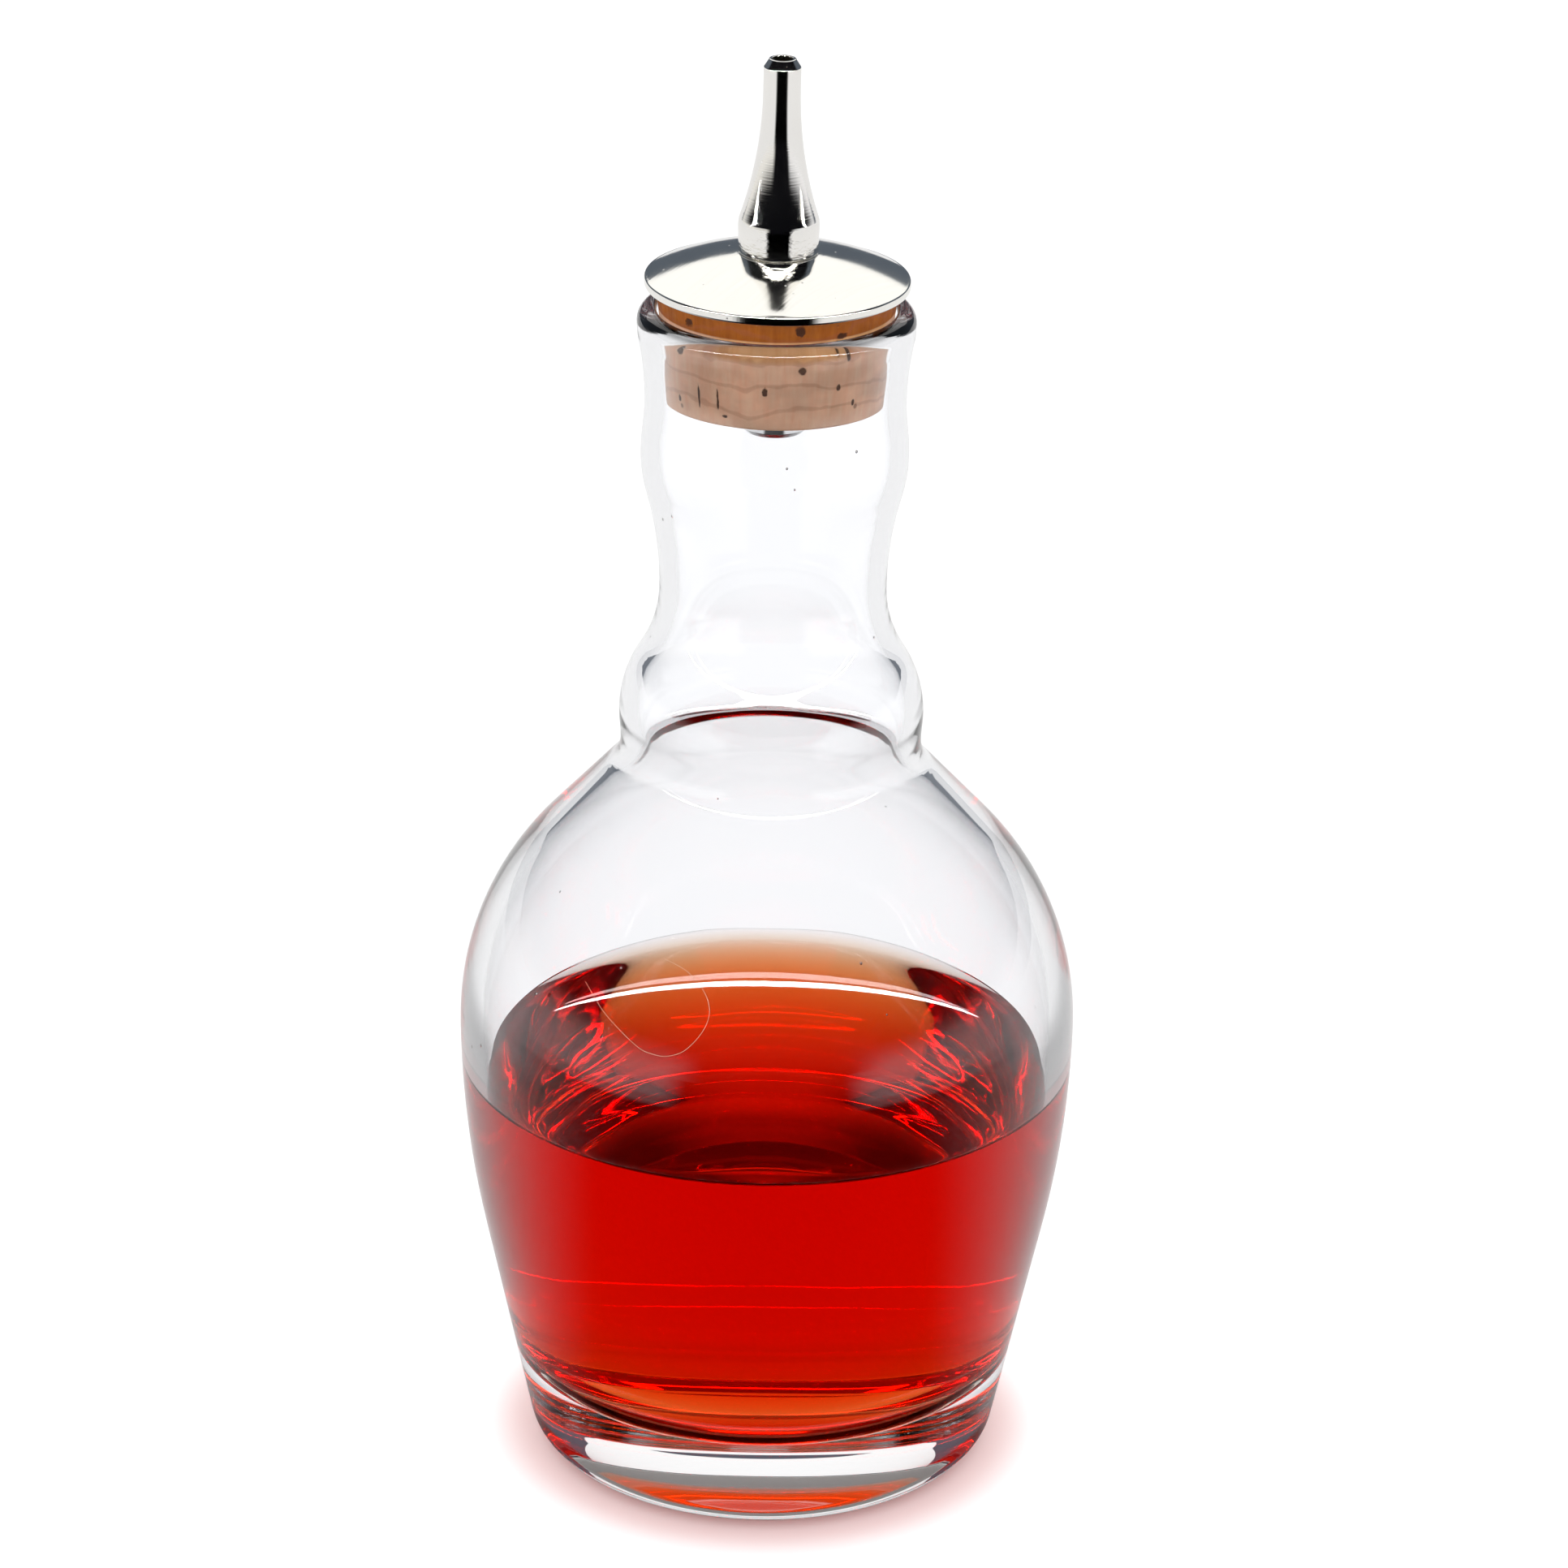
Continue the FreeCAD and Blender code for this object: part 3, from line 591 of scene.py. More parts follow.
def disc_outline(node):
    """The disc: its rings up to the edge's top, then one true arc for its domed face."""
    flat = upright_corners(node, True)
    walked, _ = outline_of(node, flat, np.ones(len(flat), bool))
    rim = walked[: int(np.argmax(walked[:, 1] * (walked[:, 0] > walked[0][0] - 1e-6))) + 1]
    centre, bend = fitted_ball(flat[(flat[:, 1] > rim[-1][1] + 0.1 * MM) & (flat[:, 0] > SEAT_ABOUT)])
    seat, bore = flat[:, 1].max(), flat[:, 0].min()
    seat_radius = math.sqrt(bend ** 2 - (seat - centre) ** 2)
    radii = np.linspace(rim[-1][0], seat_radius, DOME_STEPS)[1:]
    dome = np.stack([radii, centre + np.sqrt(bend ** 2 - radii ** 2)], axis=1)
    print(node, "dome bends at", round(bend / MM, 2), "mm, seat radius", round(seat_radius / MM, 2), "mm")
    return np.vstack([[bore, rim[0][1]], rim, dome, [bore, seat]]), True


def bottle_outline(node):
    """The bottle: one true arc for the hollow under its foot, then its rings, to the inner floor."""
    flat = upright_corners(node, False)
    standing = flat[flat[:, 1] < 0.001 * MM][:, 0].min()
    under = (flat[:, 0] < standing + 0.001 * MM) & (flat[:, 1] < 5 * MM)
    walked, _ = outline_of(node, flat, ~under | (flat[:, 0] > standing - 0.001 * MM))
    centre, bend = fitted_ball(flat[under])
    radii = np.linspace(0.0, standing, HOLLOW_STEPS)[:-1]
    hollow = np.stack([radii, centre + np.sqrt(bend ** 2 - radii ** 2)], axis=1)
    rise, inside = round(hollow[0][1] / MM, 2), round(standing / MM, 2)
    print(node, "hollow rises", rise, "mm inside radius", inside, "mm")
    return np.vstack([hollow, walked, [0.0, walked[-1][1]]]), False


OUTLINES["cap_disc"] = disc_outline("cap_disc")
OUTLINES["glass_bottle"] = bottle_outline("glass_bottle")

# %% [markdown]
# ## A fine outline
# The rings are exact but far apart, and glass shows every flat.  A curve is run through them: at each
# ring its direction comes from the circle through the ring and its two neighbours, which is exact on
# an arc, and a span far longer than its neighbour is a straight line.  Real corners stay corners, but
# even a sharp edge catches light, so each is eased by a few hundredths of a millimetre.

# %% Ease the corners
SHARP_TURN = math.radians(21.0)
EDGE_EASE = 0.07 * MM
SUPPORT_REACH = 1.6


def turn_at(before, here, after):
    """How far the outline turns at a point."""
    one, other = here - before, after - here
    return abs(math.atan2(one[0] * other[1] - one[1] * other[0], one @ other))


def ease_corners(points, closed):
    """Replace each sharp corner by a small rounding; says which points must not be smoothed."""
    count, eased, sharp = len(points), [], []
    for n, here in enumerate(points):
        inner = closed or 0 < n < count - 1
        before, after = points[n - 1], points[(n + 1) % count]
        if inner and turn_at(before, here, after) > SHARP_TURN:
            reach = min(EDGE_EASE, 0.25 * np.hypot(*(here - before)), 0.25 * np.hypot(*(after - here)))
            back = (before - here) / np.hypot(*(before - here)) * reach
            onward = (after - here) / np.hypot(*(after - here)) * reach
            rounding = [
                (1 - t) ** 2 * (here + back) + 2 * t * (1 - t) * here + t ** 2 * (here + onward)
                for t in (0.0, 0.25, 0.5, 0.75, 1.0)
            ]
            added = [here + SUPPORT_REACH * back, *rounding, here + SUPPORT_REACH * onward]
            eased += added
            sharp += [True] * len(added)
        else:
            eased.append(here)
            sharp.append(False)
    return np.array(eased), sharp


print("a corner turns by more than", round(math.degrees(SHARP_TURN)), "degrees")

# %% [markdown]
# ## A curve through the rings
# Each span between two rings is cut into short steps along a cubic curve that leaves and arrives in
# the direction found at its two rings.

# %% Smooth an outline
LINE_RATIO = 9.0


def circle_direction(before, here, after):
    """Direction, at the middle point, of the circle through three points, or of a line that ends there."""
    one, other = here - before, after - here
    long_one, long_other = one @ one, other @ other
    if long_one > LINE_RATIO * long_other:
        direction = one
    elif long_other > LINE_RATIO * long_one:
        direction = other
    else:
        direction = one * long_other + other * long_one
    return direction / np.hypot(*direction)


def smooth_outline(outline, closed, step):
    """A curve through the outline's points, cut into steps."""
    points, sharp = ease_corners(outline, closed)
    count = len(points)
    directions = []
    for n, here in enumerate(points):
        if closed or 0 < n < count - 1:
            directions.append(circle_direction(points[n - 1], here, points[(n + 1) % count]))
        else:
            near = points[1] - here if n == 0 else here - points[-2]
            directions.append(near / np.hypot(*near))
    fine = []
    for n in range(count if closed else count - 1):
        m = (n + 1) % count
        start, end = points[n], points[m]
        length = np.hypot(*(end - start))
        plain = sharp[n] or sharp[m]
        straight = (end - start) / length
        leave = straight if plain else directions[n]
        arrive = straight if plain else directions[m]
        pieces = max(1, math.ceil(length / step))
        for t in np.arange(pieces) / pieces:
            fine.append(
                (2 * t ** 3 - 3 * t ** 2 + 1) * start + (t ** 3 - 2 * t ** 2 + t) * length * leave
                + (3 * t ** 2 - 2 * t ** 3) * end + (t ** 3 - t ** 2) * length * arrive
            )
    if not closed:
        fine.append(points[-1])
    return np.array(fine)


print("the liquid's outline has", len(smooth_outline(*OUTLINES["liquid"], MM)), "points at 1 mm steps")

# %% [markdown]
# ## Trees that make a form
# A Geometry Nodes tree has named inputs for its sizes and one result.  Each tree here ends in the
# same way: instances are made real, faces are shaded smooth, and the form gets its material.

# %% Helpers for form trees
def new_form_tree(name, inputs, result):
    """A Geometry Nodes tree with named inputs and one result; gives the tree and its inputs."""
    tree = bpy.data.node_groups.new(name, "GeometryNodeTree")
    for label, kind in inputs.items():
        tree.interface.new_socket(label, in_out="INPUT", socket_type="NodeSocket" + kind)
    tree.interface.new_socket(result, in_out="OUTPUT", socket_type="NodeSocketGeometry")
    return tree, tree.nodes.new("NodeGroupInput").outputs


def finish_form(tree, geometry, finish):
    """Make the form real, smooth and of one material, and send it out."""
    real = wire(tree, "GeometryNodeRealizeInstances", {"Geometry": geometry}).outputs[0]
    smooth = wire(tree, "GeometryNodeSetShadeSmooth", {"Geometry": real}).outputs[0]
    done = wire(tree, "GeometryNodeSetMaterial", {"Geometry": smooth, "Material": finish}).outputs[0]
    tree.links.new(done, tree.nodes.new("NodeGroupOutput").inputs[0])


print("form trees can be opened and finished")

# %% [markdown]
# ## The lathe
# One Geometry Nodes tree turns any outline.  It lays out a grid with one row for each point of the
# outline and one column for each step round the axis, and then moves every grid point to its place.
# A last, very small push along the surface by a slow noise keeps hand-made glass from looking like
# a computed solid.  Its inputs are the number of steps round, the push and its scale.

# %% Lathe tree
def make_lathe_tree():
    inputs = {"Outline": "Geometry", "Steps round": "Int", "Push": "Float", "Push scale": "Float"}
    tree, given = new_form_tree("lathe", {**inputs, "Finish": "Material"}, "Turned")

    size = wire(tree, "GeometryNodeAttributeDomainSize", {"Geometry": given["Outline"]})
    count = size.outputs["Point Count"]
    columns = calc(tree, "ADD", given["Steps round"], 1.0)
    grid = wire(tree, "GeometryNodeMeshGrid", {
        "Size X": 1.0, "Size Y": 1.0, "Vertices X": columns, "Vertices Y": count})
    index = tree.nodes.new("GeometryNodeInputIndex").outputs[0]
    row = calc(tree, "FLOORED_MODULO", index, count)
    column = calc(tree, "FLOOR", calc(tree, "DIVIDE", calc(tree, "ADD", index, 0.5), count))
    share = calc(tree, "DIVIDE", column, given["Steps round"])
    angle = times(tree, share, 2 * math.pi)

    place = wire(tree, "GeometryNodeInputPosition").outputs[0]
    sample = wire(tree, "GeometryNodeSampleIndex", data_type="FLOAT_VECTOR")
    tree.links.new(given["Outline"], sample.inputs["Geometry"])
    tree.links.new(place, sample.inputs["Value"])
    tree.links.new(row, sample.inputs["Index"])
    point = wire(tree, "ShaderNodeSeparateXYZ", {0: sample.outputs["Value"]}).outputs
    turned = wire(tree, "ShaderNodeCombineXYZ", {
        "X": times(tree, point[0], calc(tree, "COSINE", angle)),
        "Y": times(tree, point[0], calc(tree, "SINE", angle)),
        "Z": point[2]}).outputs[0]
    moved = wire(tree, "GeometryNodeSetPosition", {
        "Geometry": grid.outputs["Mesh"], "Position": turned}).outputs[0]
    merged = wire(tree, "GeometryNodeMergeByDistance", {"Geometry": moved, "Distance": 1e-6}).outputs[0]

    slow = wire(tree, "ShaderNodeTexNoise", {
        "Scale": given["Push scale"], "Detail": 1.0}, noise_dimensions="3D", normalize=False)
    normal = tree.nodes.new("GeometryNodeInputNormal").outputs[0]
    push = wire(tree, "ShaderNodeVectorMath", {
        0: normal, "Scale": times(tree, slow.outputs[0], given["Push"])}, operation="SCALE")
    pushed = wire(tree, "GeometryNodeSetPosition", {
        "Geometry": merged, "Offset": push.outputs[0]}).outputs[0]
    finish_form(tree, pushed, given["Finish"])
    return tree


LATHE = make_lathe_tree()
print("the lathe has", len(LATHE.nodes), "nodes")

# %% [markdown]
# ## Running a tree
# A tree works on a small mesh of points.  Its result is frozen into a plain mesh, its seam and its
# poles are closed, and its faces are turned outwards.  A finished piece is then handed over: it rides
# on the one body and stands for its nodes of the exact model.

# %% Run a tree
TOUCHING, NO_LENGTH = 1e-6, 1e-7


def frozen(worker, name):
    """The evaluated object as a plain mesh object with closed poles and outward faces."""
    bpy.context.view_layer.update()
    depsgraph = bpy.context.evaluated_depsgraph_get()
    mesh = bpy.data.meshes.new_from_object(worker.evaluated_get(depsgraph))
    worker.modifiers.clear()
    bpy.data.objects.remove(worker)
    mesh.name = name
    form = bmesh.new()
    form.from_mesh(mesh)
    bmesh.ops.remove_doubles(form, verts=form.verts, dist=TOUCHING)
    bmesh.ops.dissolve_degenerate(form, dist=NO_LENGTH, edges=form.edges)
    bmesh.ops.recalc_face_normals(form, faces=form.faces)
    form.to_mesh(mesh)
    form.free()
    piece = bpy.data.objects.new(name, mesh)
    bpy.context.collection.objects.link(piece)
    print(name, "has", len(mesh.polygons), "faces")
    return piece


def run_tree(tree, name, points, inputs, joined=True, attributes=()):
    """Run a tree over some points, joined in a row or loose, and give the finished form."""
    rows = [(n, n + 1) for n in range(len(points) - 1)] if joined else []
    mesh = bpy.data.meshes.new(name + "_points")
    mesh.from_pydata(points, rows, [])
    for label, values in dict(attributes).items():
        mesh.attributes.new(label, "FLOAT", "POINT").data.foreach_set("value", values)
    worker = bpy.data.objects.new(name + "_worker", mesh)
    bpy.context.collection.objects.link(worker)
    modifier = worker.modifiers.new(tree.name, "NODES")
    modifier.node_group = tree
    sockets = {item.name: item.identifier for item in tree.interface.items_tree if item.in_out == "INPUT"}
    for label, value in inputs.items():
        modifier[sockets[label]] = value
    return frozen(worker, name)


def turn_on_lathe(name, points, finish, steps, push=0.0, push_scale=30.0, closed=False):
    """Turn an outline of radius and height into a finished piece."""
    ring = [(r, 0.0, z) for r, z in points]
    if closed:
        ring.append(ring[0])
    inputs = {"Steps round": steps, "Push": push, "Push scale": push_scale, "Finish": finish}
    return run_tree(LATHE, name, ring, inputs)


def keep(piece, slot, *nodes):
    """Hand a finished piece over: it rides on the one body and stands for its CAD nodes."""
    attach(piece, "root")
    if nodes:
        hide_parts(*nodes)


print("points closer than", TOUCHING / MM, "mm are merged")

# %% [markdown]
# ## Clear glass
# Glass bends light more than water does.  A trace of blue in its depth shows only where it is thick,
# in the base and the lip, so it belongs mostly in the volume.  The skin carries a slow ripple left
# by blowing, and a few faint smears.

# %% Glass
GLASS_BENDING = 1.5
GLASS_SKIN = (0.984, 0.988, 1.0, 1.0)
GLASS_DEPTH, GLASS_DENSITY = (0.80, 0.86, 0.90, 1.0), 4.0


def make_glass_finish():
    material, tree, shader, output = new_finish("clear_glass")
    shader.inputs["Base Color"].default_value = GLASS_SKIN
    shader.inputs["Transmission Weight"].default_value = 1.0
    shader.inputs["IOR"].default_value = GLASS_BENDING
    place = object_place(tree)
    smear = noise(tree, place, 90.0, 3.0)
    tree.links.new(ramp_between(tree, smear, 0.62, 0.80, 0.0, 0.04), shader.inputs["Roughness"])
    ripple = noise(tree, place, 55.0, 1.0)
    bumped(tree, shader, ripple, 0.2 * MM, strength=0.25)
    depth = wire(tree, "ShaderNodeVolumeAbsorption", {"Color": GLASS_DEPTH, "Density": GLASS_DENSITY})
    tree.links.new(depth.outputs[0], output.inputs["Volume"])
    return material


GLASS = make_glass_finish()
print("glass bends light by", GLASS_BENDING, "and its finish has", len(GLASS.node_tree.nodes), "nodes")

# %% [markdown]
# ## Places on the wall
# Bubbles, a stray fibre and the edge of the drink all sit on the wall of the bottle.  Their places are
# given as a bearing from the front and a height; the outline gives the radius there.

# %% Places on the wall
def wall_radius(side, height):
    """Outer or inner radius of the bottle at a height, from its outline."""
    points = OUTLINES["glass_bottle"][0]
    top = int(np.argmax(points[:, 1]))
    wall = points[top:][::-1] if side == "inside" else points[:top]
    return float(np.interp(height, wall[:, 1], wall[:, 0]))


def on_wall(bearing, height, depth=0.0):
    """A point of the bottle's outer skin, or under it, from a bearing in degrees and a height."""
    radius = wall_radius("outside", height) - depth
    turn = math.radians(bearing)
    return radius * math.sin(turn), -radius * math.cos(turn), height


print("at 60 mm the wall is", round(wall_radius("outside", 60 * MM) / MM, 2), "mm from the axis")

# %% [markdown]
# ## Bubbles in the glass
# A few bubbles were trapped when the bottle was blown.  Each is a small ball stretched upwards, put
# on its point by a Geometry Nodes tree.  A bubble is a hole in the glass, so its faces are turned to
# look inwards, and its skin becomes part of the bottle's own mesh.  Each row of the list is a
# bearing in degrees, a height and a width in millimetres.

# %% Bubbles
BUBBLES = [
    (-51.3, 65.6, 0.42), (-32.3, 71.3, 0.34), (20.9, 73.1, 0.30), (38.8, 128.0, 0.30), (5.5, 127.0, 0.24),
    (-71.8, 54.3, 0.34), (24.5, 67.8, 0.20), (-41.4, 61.7, 0.16), (42.2, 62.3, 0.16), (8.9, 124.6, 0.20),
    (-63.0, 118.0, 0.28), (61.0, 104.0, 0.24), (-20.0, 88.0, 0.18), (150.0, 70.0, 0.30), (-128.0, 60.0, 0.26),
    (101.0, 52.0, 0.24), (-95.0, 101.0, 0.22),
]
BUBBLE_DEPTH = 0.7 * MM
BUBBLE_STRETCH = 1.25


def make_bubble_tree():
    inputs = {"Places": "Geometry", "Stretch": "Float", "Finish": "Material"}
    tree, given = new_form_tree("bubbles", inputs, "Bubbles")
    ball = wire(tree, "GeometryNodeMeshIcoSphere", {"Radius": 1.0, "Subdivisions": 3}).outputs["Mesh"]
    widths = wire(tree, "GeometryNodeInputNamedAttribute", {"Name": "half_width"}, data_type="FLOAT")
    half_width = widths.outputs[0]
    tall = times(tree, half_width, given["Stretch"])
    size = wire(tree, "ShaderNodeCombineXYZ", {0: half_width, 1: half_width, 2: tall}).outputs[0]
    placed = wire(tree, "GeometryNodeInstanceOnPoints", {
        "Points": given["Places"], "Instance": ball, "Scale": size}).outputs[0]
    finish_form(tree, placed, given["Finish"])
    return tree


def make_bubbles():
    """All bubbles as one mesh object whose faces look into the bubbles."""
    places = [on_wall(bearing, height * MM, BUBBLE_DEPTH) for bearing, height, _ in BUBBLES]
    half_widths = [0.5 * width * MM for _, _, width in BUBBLES]
    inputs = {"Stretch": BUBBLE_STRETCH, "Finish": GLASS}
    attributes = {"half_width": half_widths}
    bubbles = run_tree(make_bubble_tree(), "bubbles", places, inputs, joined=False, attributes=attributes)
    bubbles.data.flip_normals()
    return bubbles


print("the widest bubble is", max(width for _, _, width in BUBBLES), "mm across")

# %% [markdown]
# ## The bottle
# The outline is turned on the lathe and the bubbles are added to its mesh.  The push that keeps it
# from looking computed is a fiftieth of a millimetre.

# %% Bottle
BOTTLE_STEP, BOTTLE_STEPS_ROUND = 0.9 * MM, 180
BOTTLE_PUSH, BOTTLE_PUSH_SCALE = 0.02 * MM, 45.0


def make_bottle():
    outline, closed = OUTLINES["glass_bottle"]
    points = smooth_outline(outline, closed, BOTTLE_STEP)
    bottle = turn_on_lathe("bottle", points, GLASS, BOTTLE_STEPS_ROUND, BOTTLE_PUSH, BOTTLE_PUSH_SCALE)
    bubbles = make_bubbles()
    form = bmesh.new()
    form.from_mesh(bottle.data)
    form.from_mesh(bubbles.data)
    form.to_mesh(bottle.data)
    form.free()
    bpy.data.objects.remove(bubbles)
    print("bottle holds", len(BUBBLES), "bubbles and has", len(bottle.data.polygons), "faces")
    keep(bottle, "glass", "glass_bottle")


make_bottle()

# %% [markdown]
# ## A stray fibre
# One fine hair lies in a loop on the shoulder.  Its path is given by a few places on the skin, each a
# bearing in degrees and a height in millimetres; a Geometry Nodes tree runs a smooth curve through
# them and lays a thin tube along it.

# %% Fibre
FIBRE_PATH = [
    (-22.4, 73.4), (-17.4, 72.7), (-13.9, 71.5), (-11.8, 70.1), (-11.2, 68.6), (-12.1, 67.0), (-14.1, 65.4),
    (-16.1, 64.4), (-18.9, 63.8), (-21.4, 63.8), (-24.0, 64.1), (-28.0, 65.3), (-32.9, 66.9), (-35.9, 68.1),
    (-39.1, 69.3),
]
FIBRE_WIDTH, FIBRE_POINTS, FIBRE_SIDES = 0.045 * MM, 160, 8
FIBRE_DARK, FIBRE_PALE = (0.62, 0.36, 0.20, 1.0), (0.98, 0.80, 0.62, 1.0)


def make_fibre_tree():
    inputs = {"Path": "Geometry", "Width": "Float", "Finish": "Material"}
    tree, given = new_form_tree("fibre", inputs, "Fibre")
    path = wire(tree, "GeometryNodeMeshToCurve", {"Mesh": given["Path"]}).outputs[0]
    rounded = wire(tree, "GeometryNodeCurveSplineType", {"Curve": path}, spline_type="CATMULL_ROM").outputs[0]
    curve = wire(tree, "GeometryNodeResampleCurve", {"Curve": rounded, "Count": FIBRE_POINTS}).outputs[0]
    half_width = times(tree, given["Width"], 0.5)
    circle = {"Resolution": FIBRE_SIDES, "Radius": half_width}
    section = wire(tree, "GeometryNodeCurvePrimitiveCircle", circle)
    tube = wire(tree, "GeometryNodeCurveToMesh", {
        "Curve": curve, "Profile Curve": section.outputs[0], "Fill Caps": True}).outputs[0]
    finish_form(tree, tube, given["Finish"])
    return tree


def make_fibre_finish():
    material, tree, shader, _ = new_finish("fibre")
    along = noise(tree, object_place(tree), 900.0, 2.0)
    colour = blend_colours(tree, along, FIBRE_DARK, FIBRE_PALE)
    tree.links.new(colour, shader.inputs["Base Color"])
    tree.links.new(ramp_between(tree, along, 0.3, 0.7, 0.35, 0.6), shader.inputs["Roughness"])
    bumped(tree, shader, along, 0.01 * MM)
    return material


def make_fibre():
    path = [on_wall(bearing, height * MM, -0.6 * FIBRE_WIDTH) for bearing, height in FIBRE_PATH]
    inputs = {"Width": FIBRE_WIDTH, "Finish": make_fibre_finish()}
    keep(run_tree(make_fibre_tree(), "fibre", path, inputs), "glass")


make_fibre()

# %% [markdown]
# ## The red drink
# The drink is a clear dye: light loses blue first, then green, and keeps red, so a thin layer looks
# orange and a deep one a dark red.  Only absorption through the volume does that.  Where it meets the
# glass the surface climbs the wall a little, which gives the thin bright line all round.

# %% Drink
LIQUID_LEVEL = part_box("liquid")[1].z
INTO_WALL = 0.15 * MM
CLIMB, CLIMB_REACH = 0.95 * MM, 0.95 * MM
EDGE_SUPPORT = 0.02 * MM
DRINK_STEP, DRINK_STEPS_ROUND = 0.8 * MM, 200
SURFACE_RINGS = (0.1 * MM, 20.0 * MM, 20)
DRINK_BENDING = 1.355
DYE, DYE_DENSITY = (0.967, 0.475, 0.0, 1.0), 200.0


def make_drink_finish():
    material, tree, shader, output = new_finish("red_drink")
    shader.inputs["Base Color"].default_value = WHITE
    shader.inputs["Transmission Weight"].default_value = 1.0
    shader.inputs["IOR"].default_value = DRINK_BENDING
    shader.inputs["Roughness"].default_value = 0.0
    dye = wire(tree, "ShaderNodeVolumeAbsorption", {"Color": DYE, "Density": DYE_DENSITY})
    tree.links.new(dye.outputs[0], output.inputs["Volume"])
    return material


DRINK = make_drink_finish()


def make_drink():
    """The CAD outline pushed just into the wall, under a surface that climbs to its edge."""
    outline, _ = OUTLINES["liquid"]
    side = outline[outline[:, 1] < LIQUID_LEVEL - 1e-6]
    side = side[np.argsort(side[:, 1] + 1e-3 * side[:, 0])]
    edge_height = LIQUID_LEVEL + CLIMB
    edge = np.array([wall_radius("inside", edge_height), edge_height])
    points = smooth_outline(np.vstack([[0.0, side[0][1]], side, edge]), False, DRINK_STEP)
    along = np.gradient(points, axis=0)
    outward = np.stack([along[:, 1], -along[:, 0]], axis=1)
    outward /= np.hypot(outward[:, 0], outward[:, 1])[:, None]
    points = points + INTO_WALL * outward
    points[0][0] = 0.0
    last_span = points[-2] - points[-1]
    under_edge = points[-1] + last_span / np.hypot(*last_span) * EDGE_SUPPORT
    inset = np.concatenate([[0.0, EDGE_SUPPORT], np.geomspace(*SURFACE_RINGS)])
    radii = points[-1][0] - inset
    surface = np.stack([radii, LIQUID_LEVEL + CLIMB * np.exp(-inset / CLIMB_REACH)], axis=1)
    points = np.vstack([points[:-1], under_edge, surface, [0.0, LIQUID_LEVEL]])
    keep(turn_on_lathe("drink", points, DRINK, DRINK_STEPS_ROUND), "drink", "liquid")


make_drink()
print("the drink stands", round(LIQUID_LEVEL / MM, 2), "mm up and climbs", round(CLIMB / MM, 2), "mm")

# %% [markdown]
# ## The brushed disc
# All three metal pieces are nickel, but each was worked in its own way.  The disc was brushed along
# one direction: noise drawn out into fine lines gives the brushing, and a slow cloud and a little
# dust break it up.  The same patterns move colour, roughness and bump.

# %% Disc finish
BRUSH_TURN = math.radians(38.0)


def metal_base(name):
    material, tree, shader, _ = new_finish(name)
    shader.inputs["Metallic"].default_value = 1.0
    return material, tree, shader, object_place(tree)


def make_disc_finish():
    material, tree, shader, place = metal_base("disc_nickel")
    brushing = noise(tree, stretched(tree, place, (2400.0, 150.0, 150.0), BRUSH_TURN), 1.0, 3.0)
    cloud = noise(tree, place, 130.0, 3.0)
    dust = specks(tree, place, 1100.0, 0.10)
    tint = calc(tree, "ADD", times(tree, brushing, 0.6), times(tree, cloud, 0.4))
    colour = blend_colours(tree, tint, (0.86, 0.845, 0.80, 1.0), (0.97, 0.955, 0.91, 1.0))
    tree.links.new(colour, shader.inputs["Base Color"])
    sheen = ramp_between(tree, cloud, 0.35, 0.7, 0.07, 0.13)
    tree.links.new(calc(tree, "ADD", sheen, times(tree, dust, 0.5)), shader.inputs["Roughness"])
    bumped(tree, shader, calc(tree, "ADD", brushing, dust), 0.006 * MM)
    return material


print("the disc is brushed at", round(math.degrees(BRUSH_TURN)), "degrees")

# %% [markdown]
# ## The turned spout
# The spout was cut on a lathe and shows fine level rings.  On its barrel the tool trembled and left
# chatter, so a second, coarser pattern is let in there through a window on the height.

# %% Spout finish
SPOUT_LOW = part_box("spout")[0].z
BARREL = (SPOUT_LOW + 0.2 * MM, SPOUT_LOW + 3.6 * MM, 0.5 * MM)


def make_spout_finish():
    material, tree, shader, place = metal_base("spout_nickel")
    height = wire(tree, "ShaderNodeSeparateXYZ", {0: place}).outputs[2]
    rings = noise(tree, stretched(tree, place, (60.0, 60.0, 5200.0)), 1.0, 2.0)
    cloud = noise(tree, stretched(tree, place, (300.0, 300.0, 90.0)), 1.0, 3.0)
    tremble = noise(tree, stretched(tree, place, (900.0, 900.0, 1900.0)), 1.0, 2.0)
    chatter = times(tree, tremble, window(tree, height, *BARREL))
    colour = blend_colours(tree, cloud, (0.86, 0.84, 0.80, 1.0), (0.95, 0.935, 0.90, 1.0))
    tree.links.new(colour, shader.inputs["Base Color"])
    tree.links.new(ramp_between(tree, cloud, 0.3, 0.7, 0.05, 0.11), shader.inputs["Roughness"])
    bumped(tree, shader, calc(tree, "ADD", times(tree, rings, 0.12), chatter), 0.045 * MM)
    return material


print("the spout starts", round(SPOUT_LOW / MM, 2), "mm up")

# %% [markdown]
# ## The polished tube
# Only the end of the tube shows, under the cork.  It was just polished, so a fine cloud that varies
# its shine is enough.

# %% Tube finish
def make_tube_finish():
    material, tree, shader, place = metal_base("tube_polish")
    cloud = noise(tree, place, 600.0, 3.0)
    colour = blend_colours(tree, cloud, (0.90, 0.90, 0.90, 1.0), (0.98, 0.98, 0.98, 1.0))
    tree.links.new(colour, shader.inputs["Base Color"])
    tree.links.new(ramp_between(tree, cloud, 0.3, 0.7, 0.12, 0.25), shader.inputs["Roughness"])
    bumped(tree, shader, cloud, 0.01 * MM)
    return material


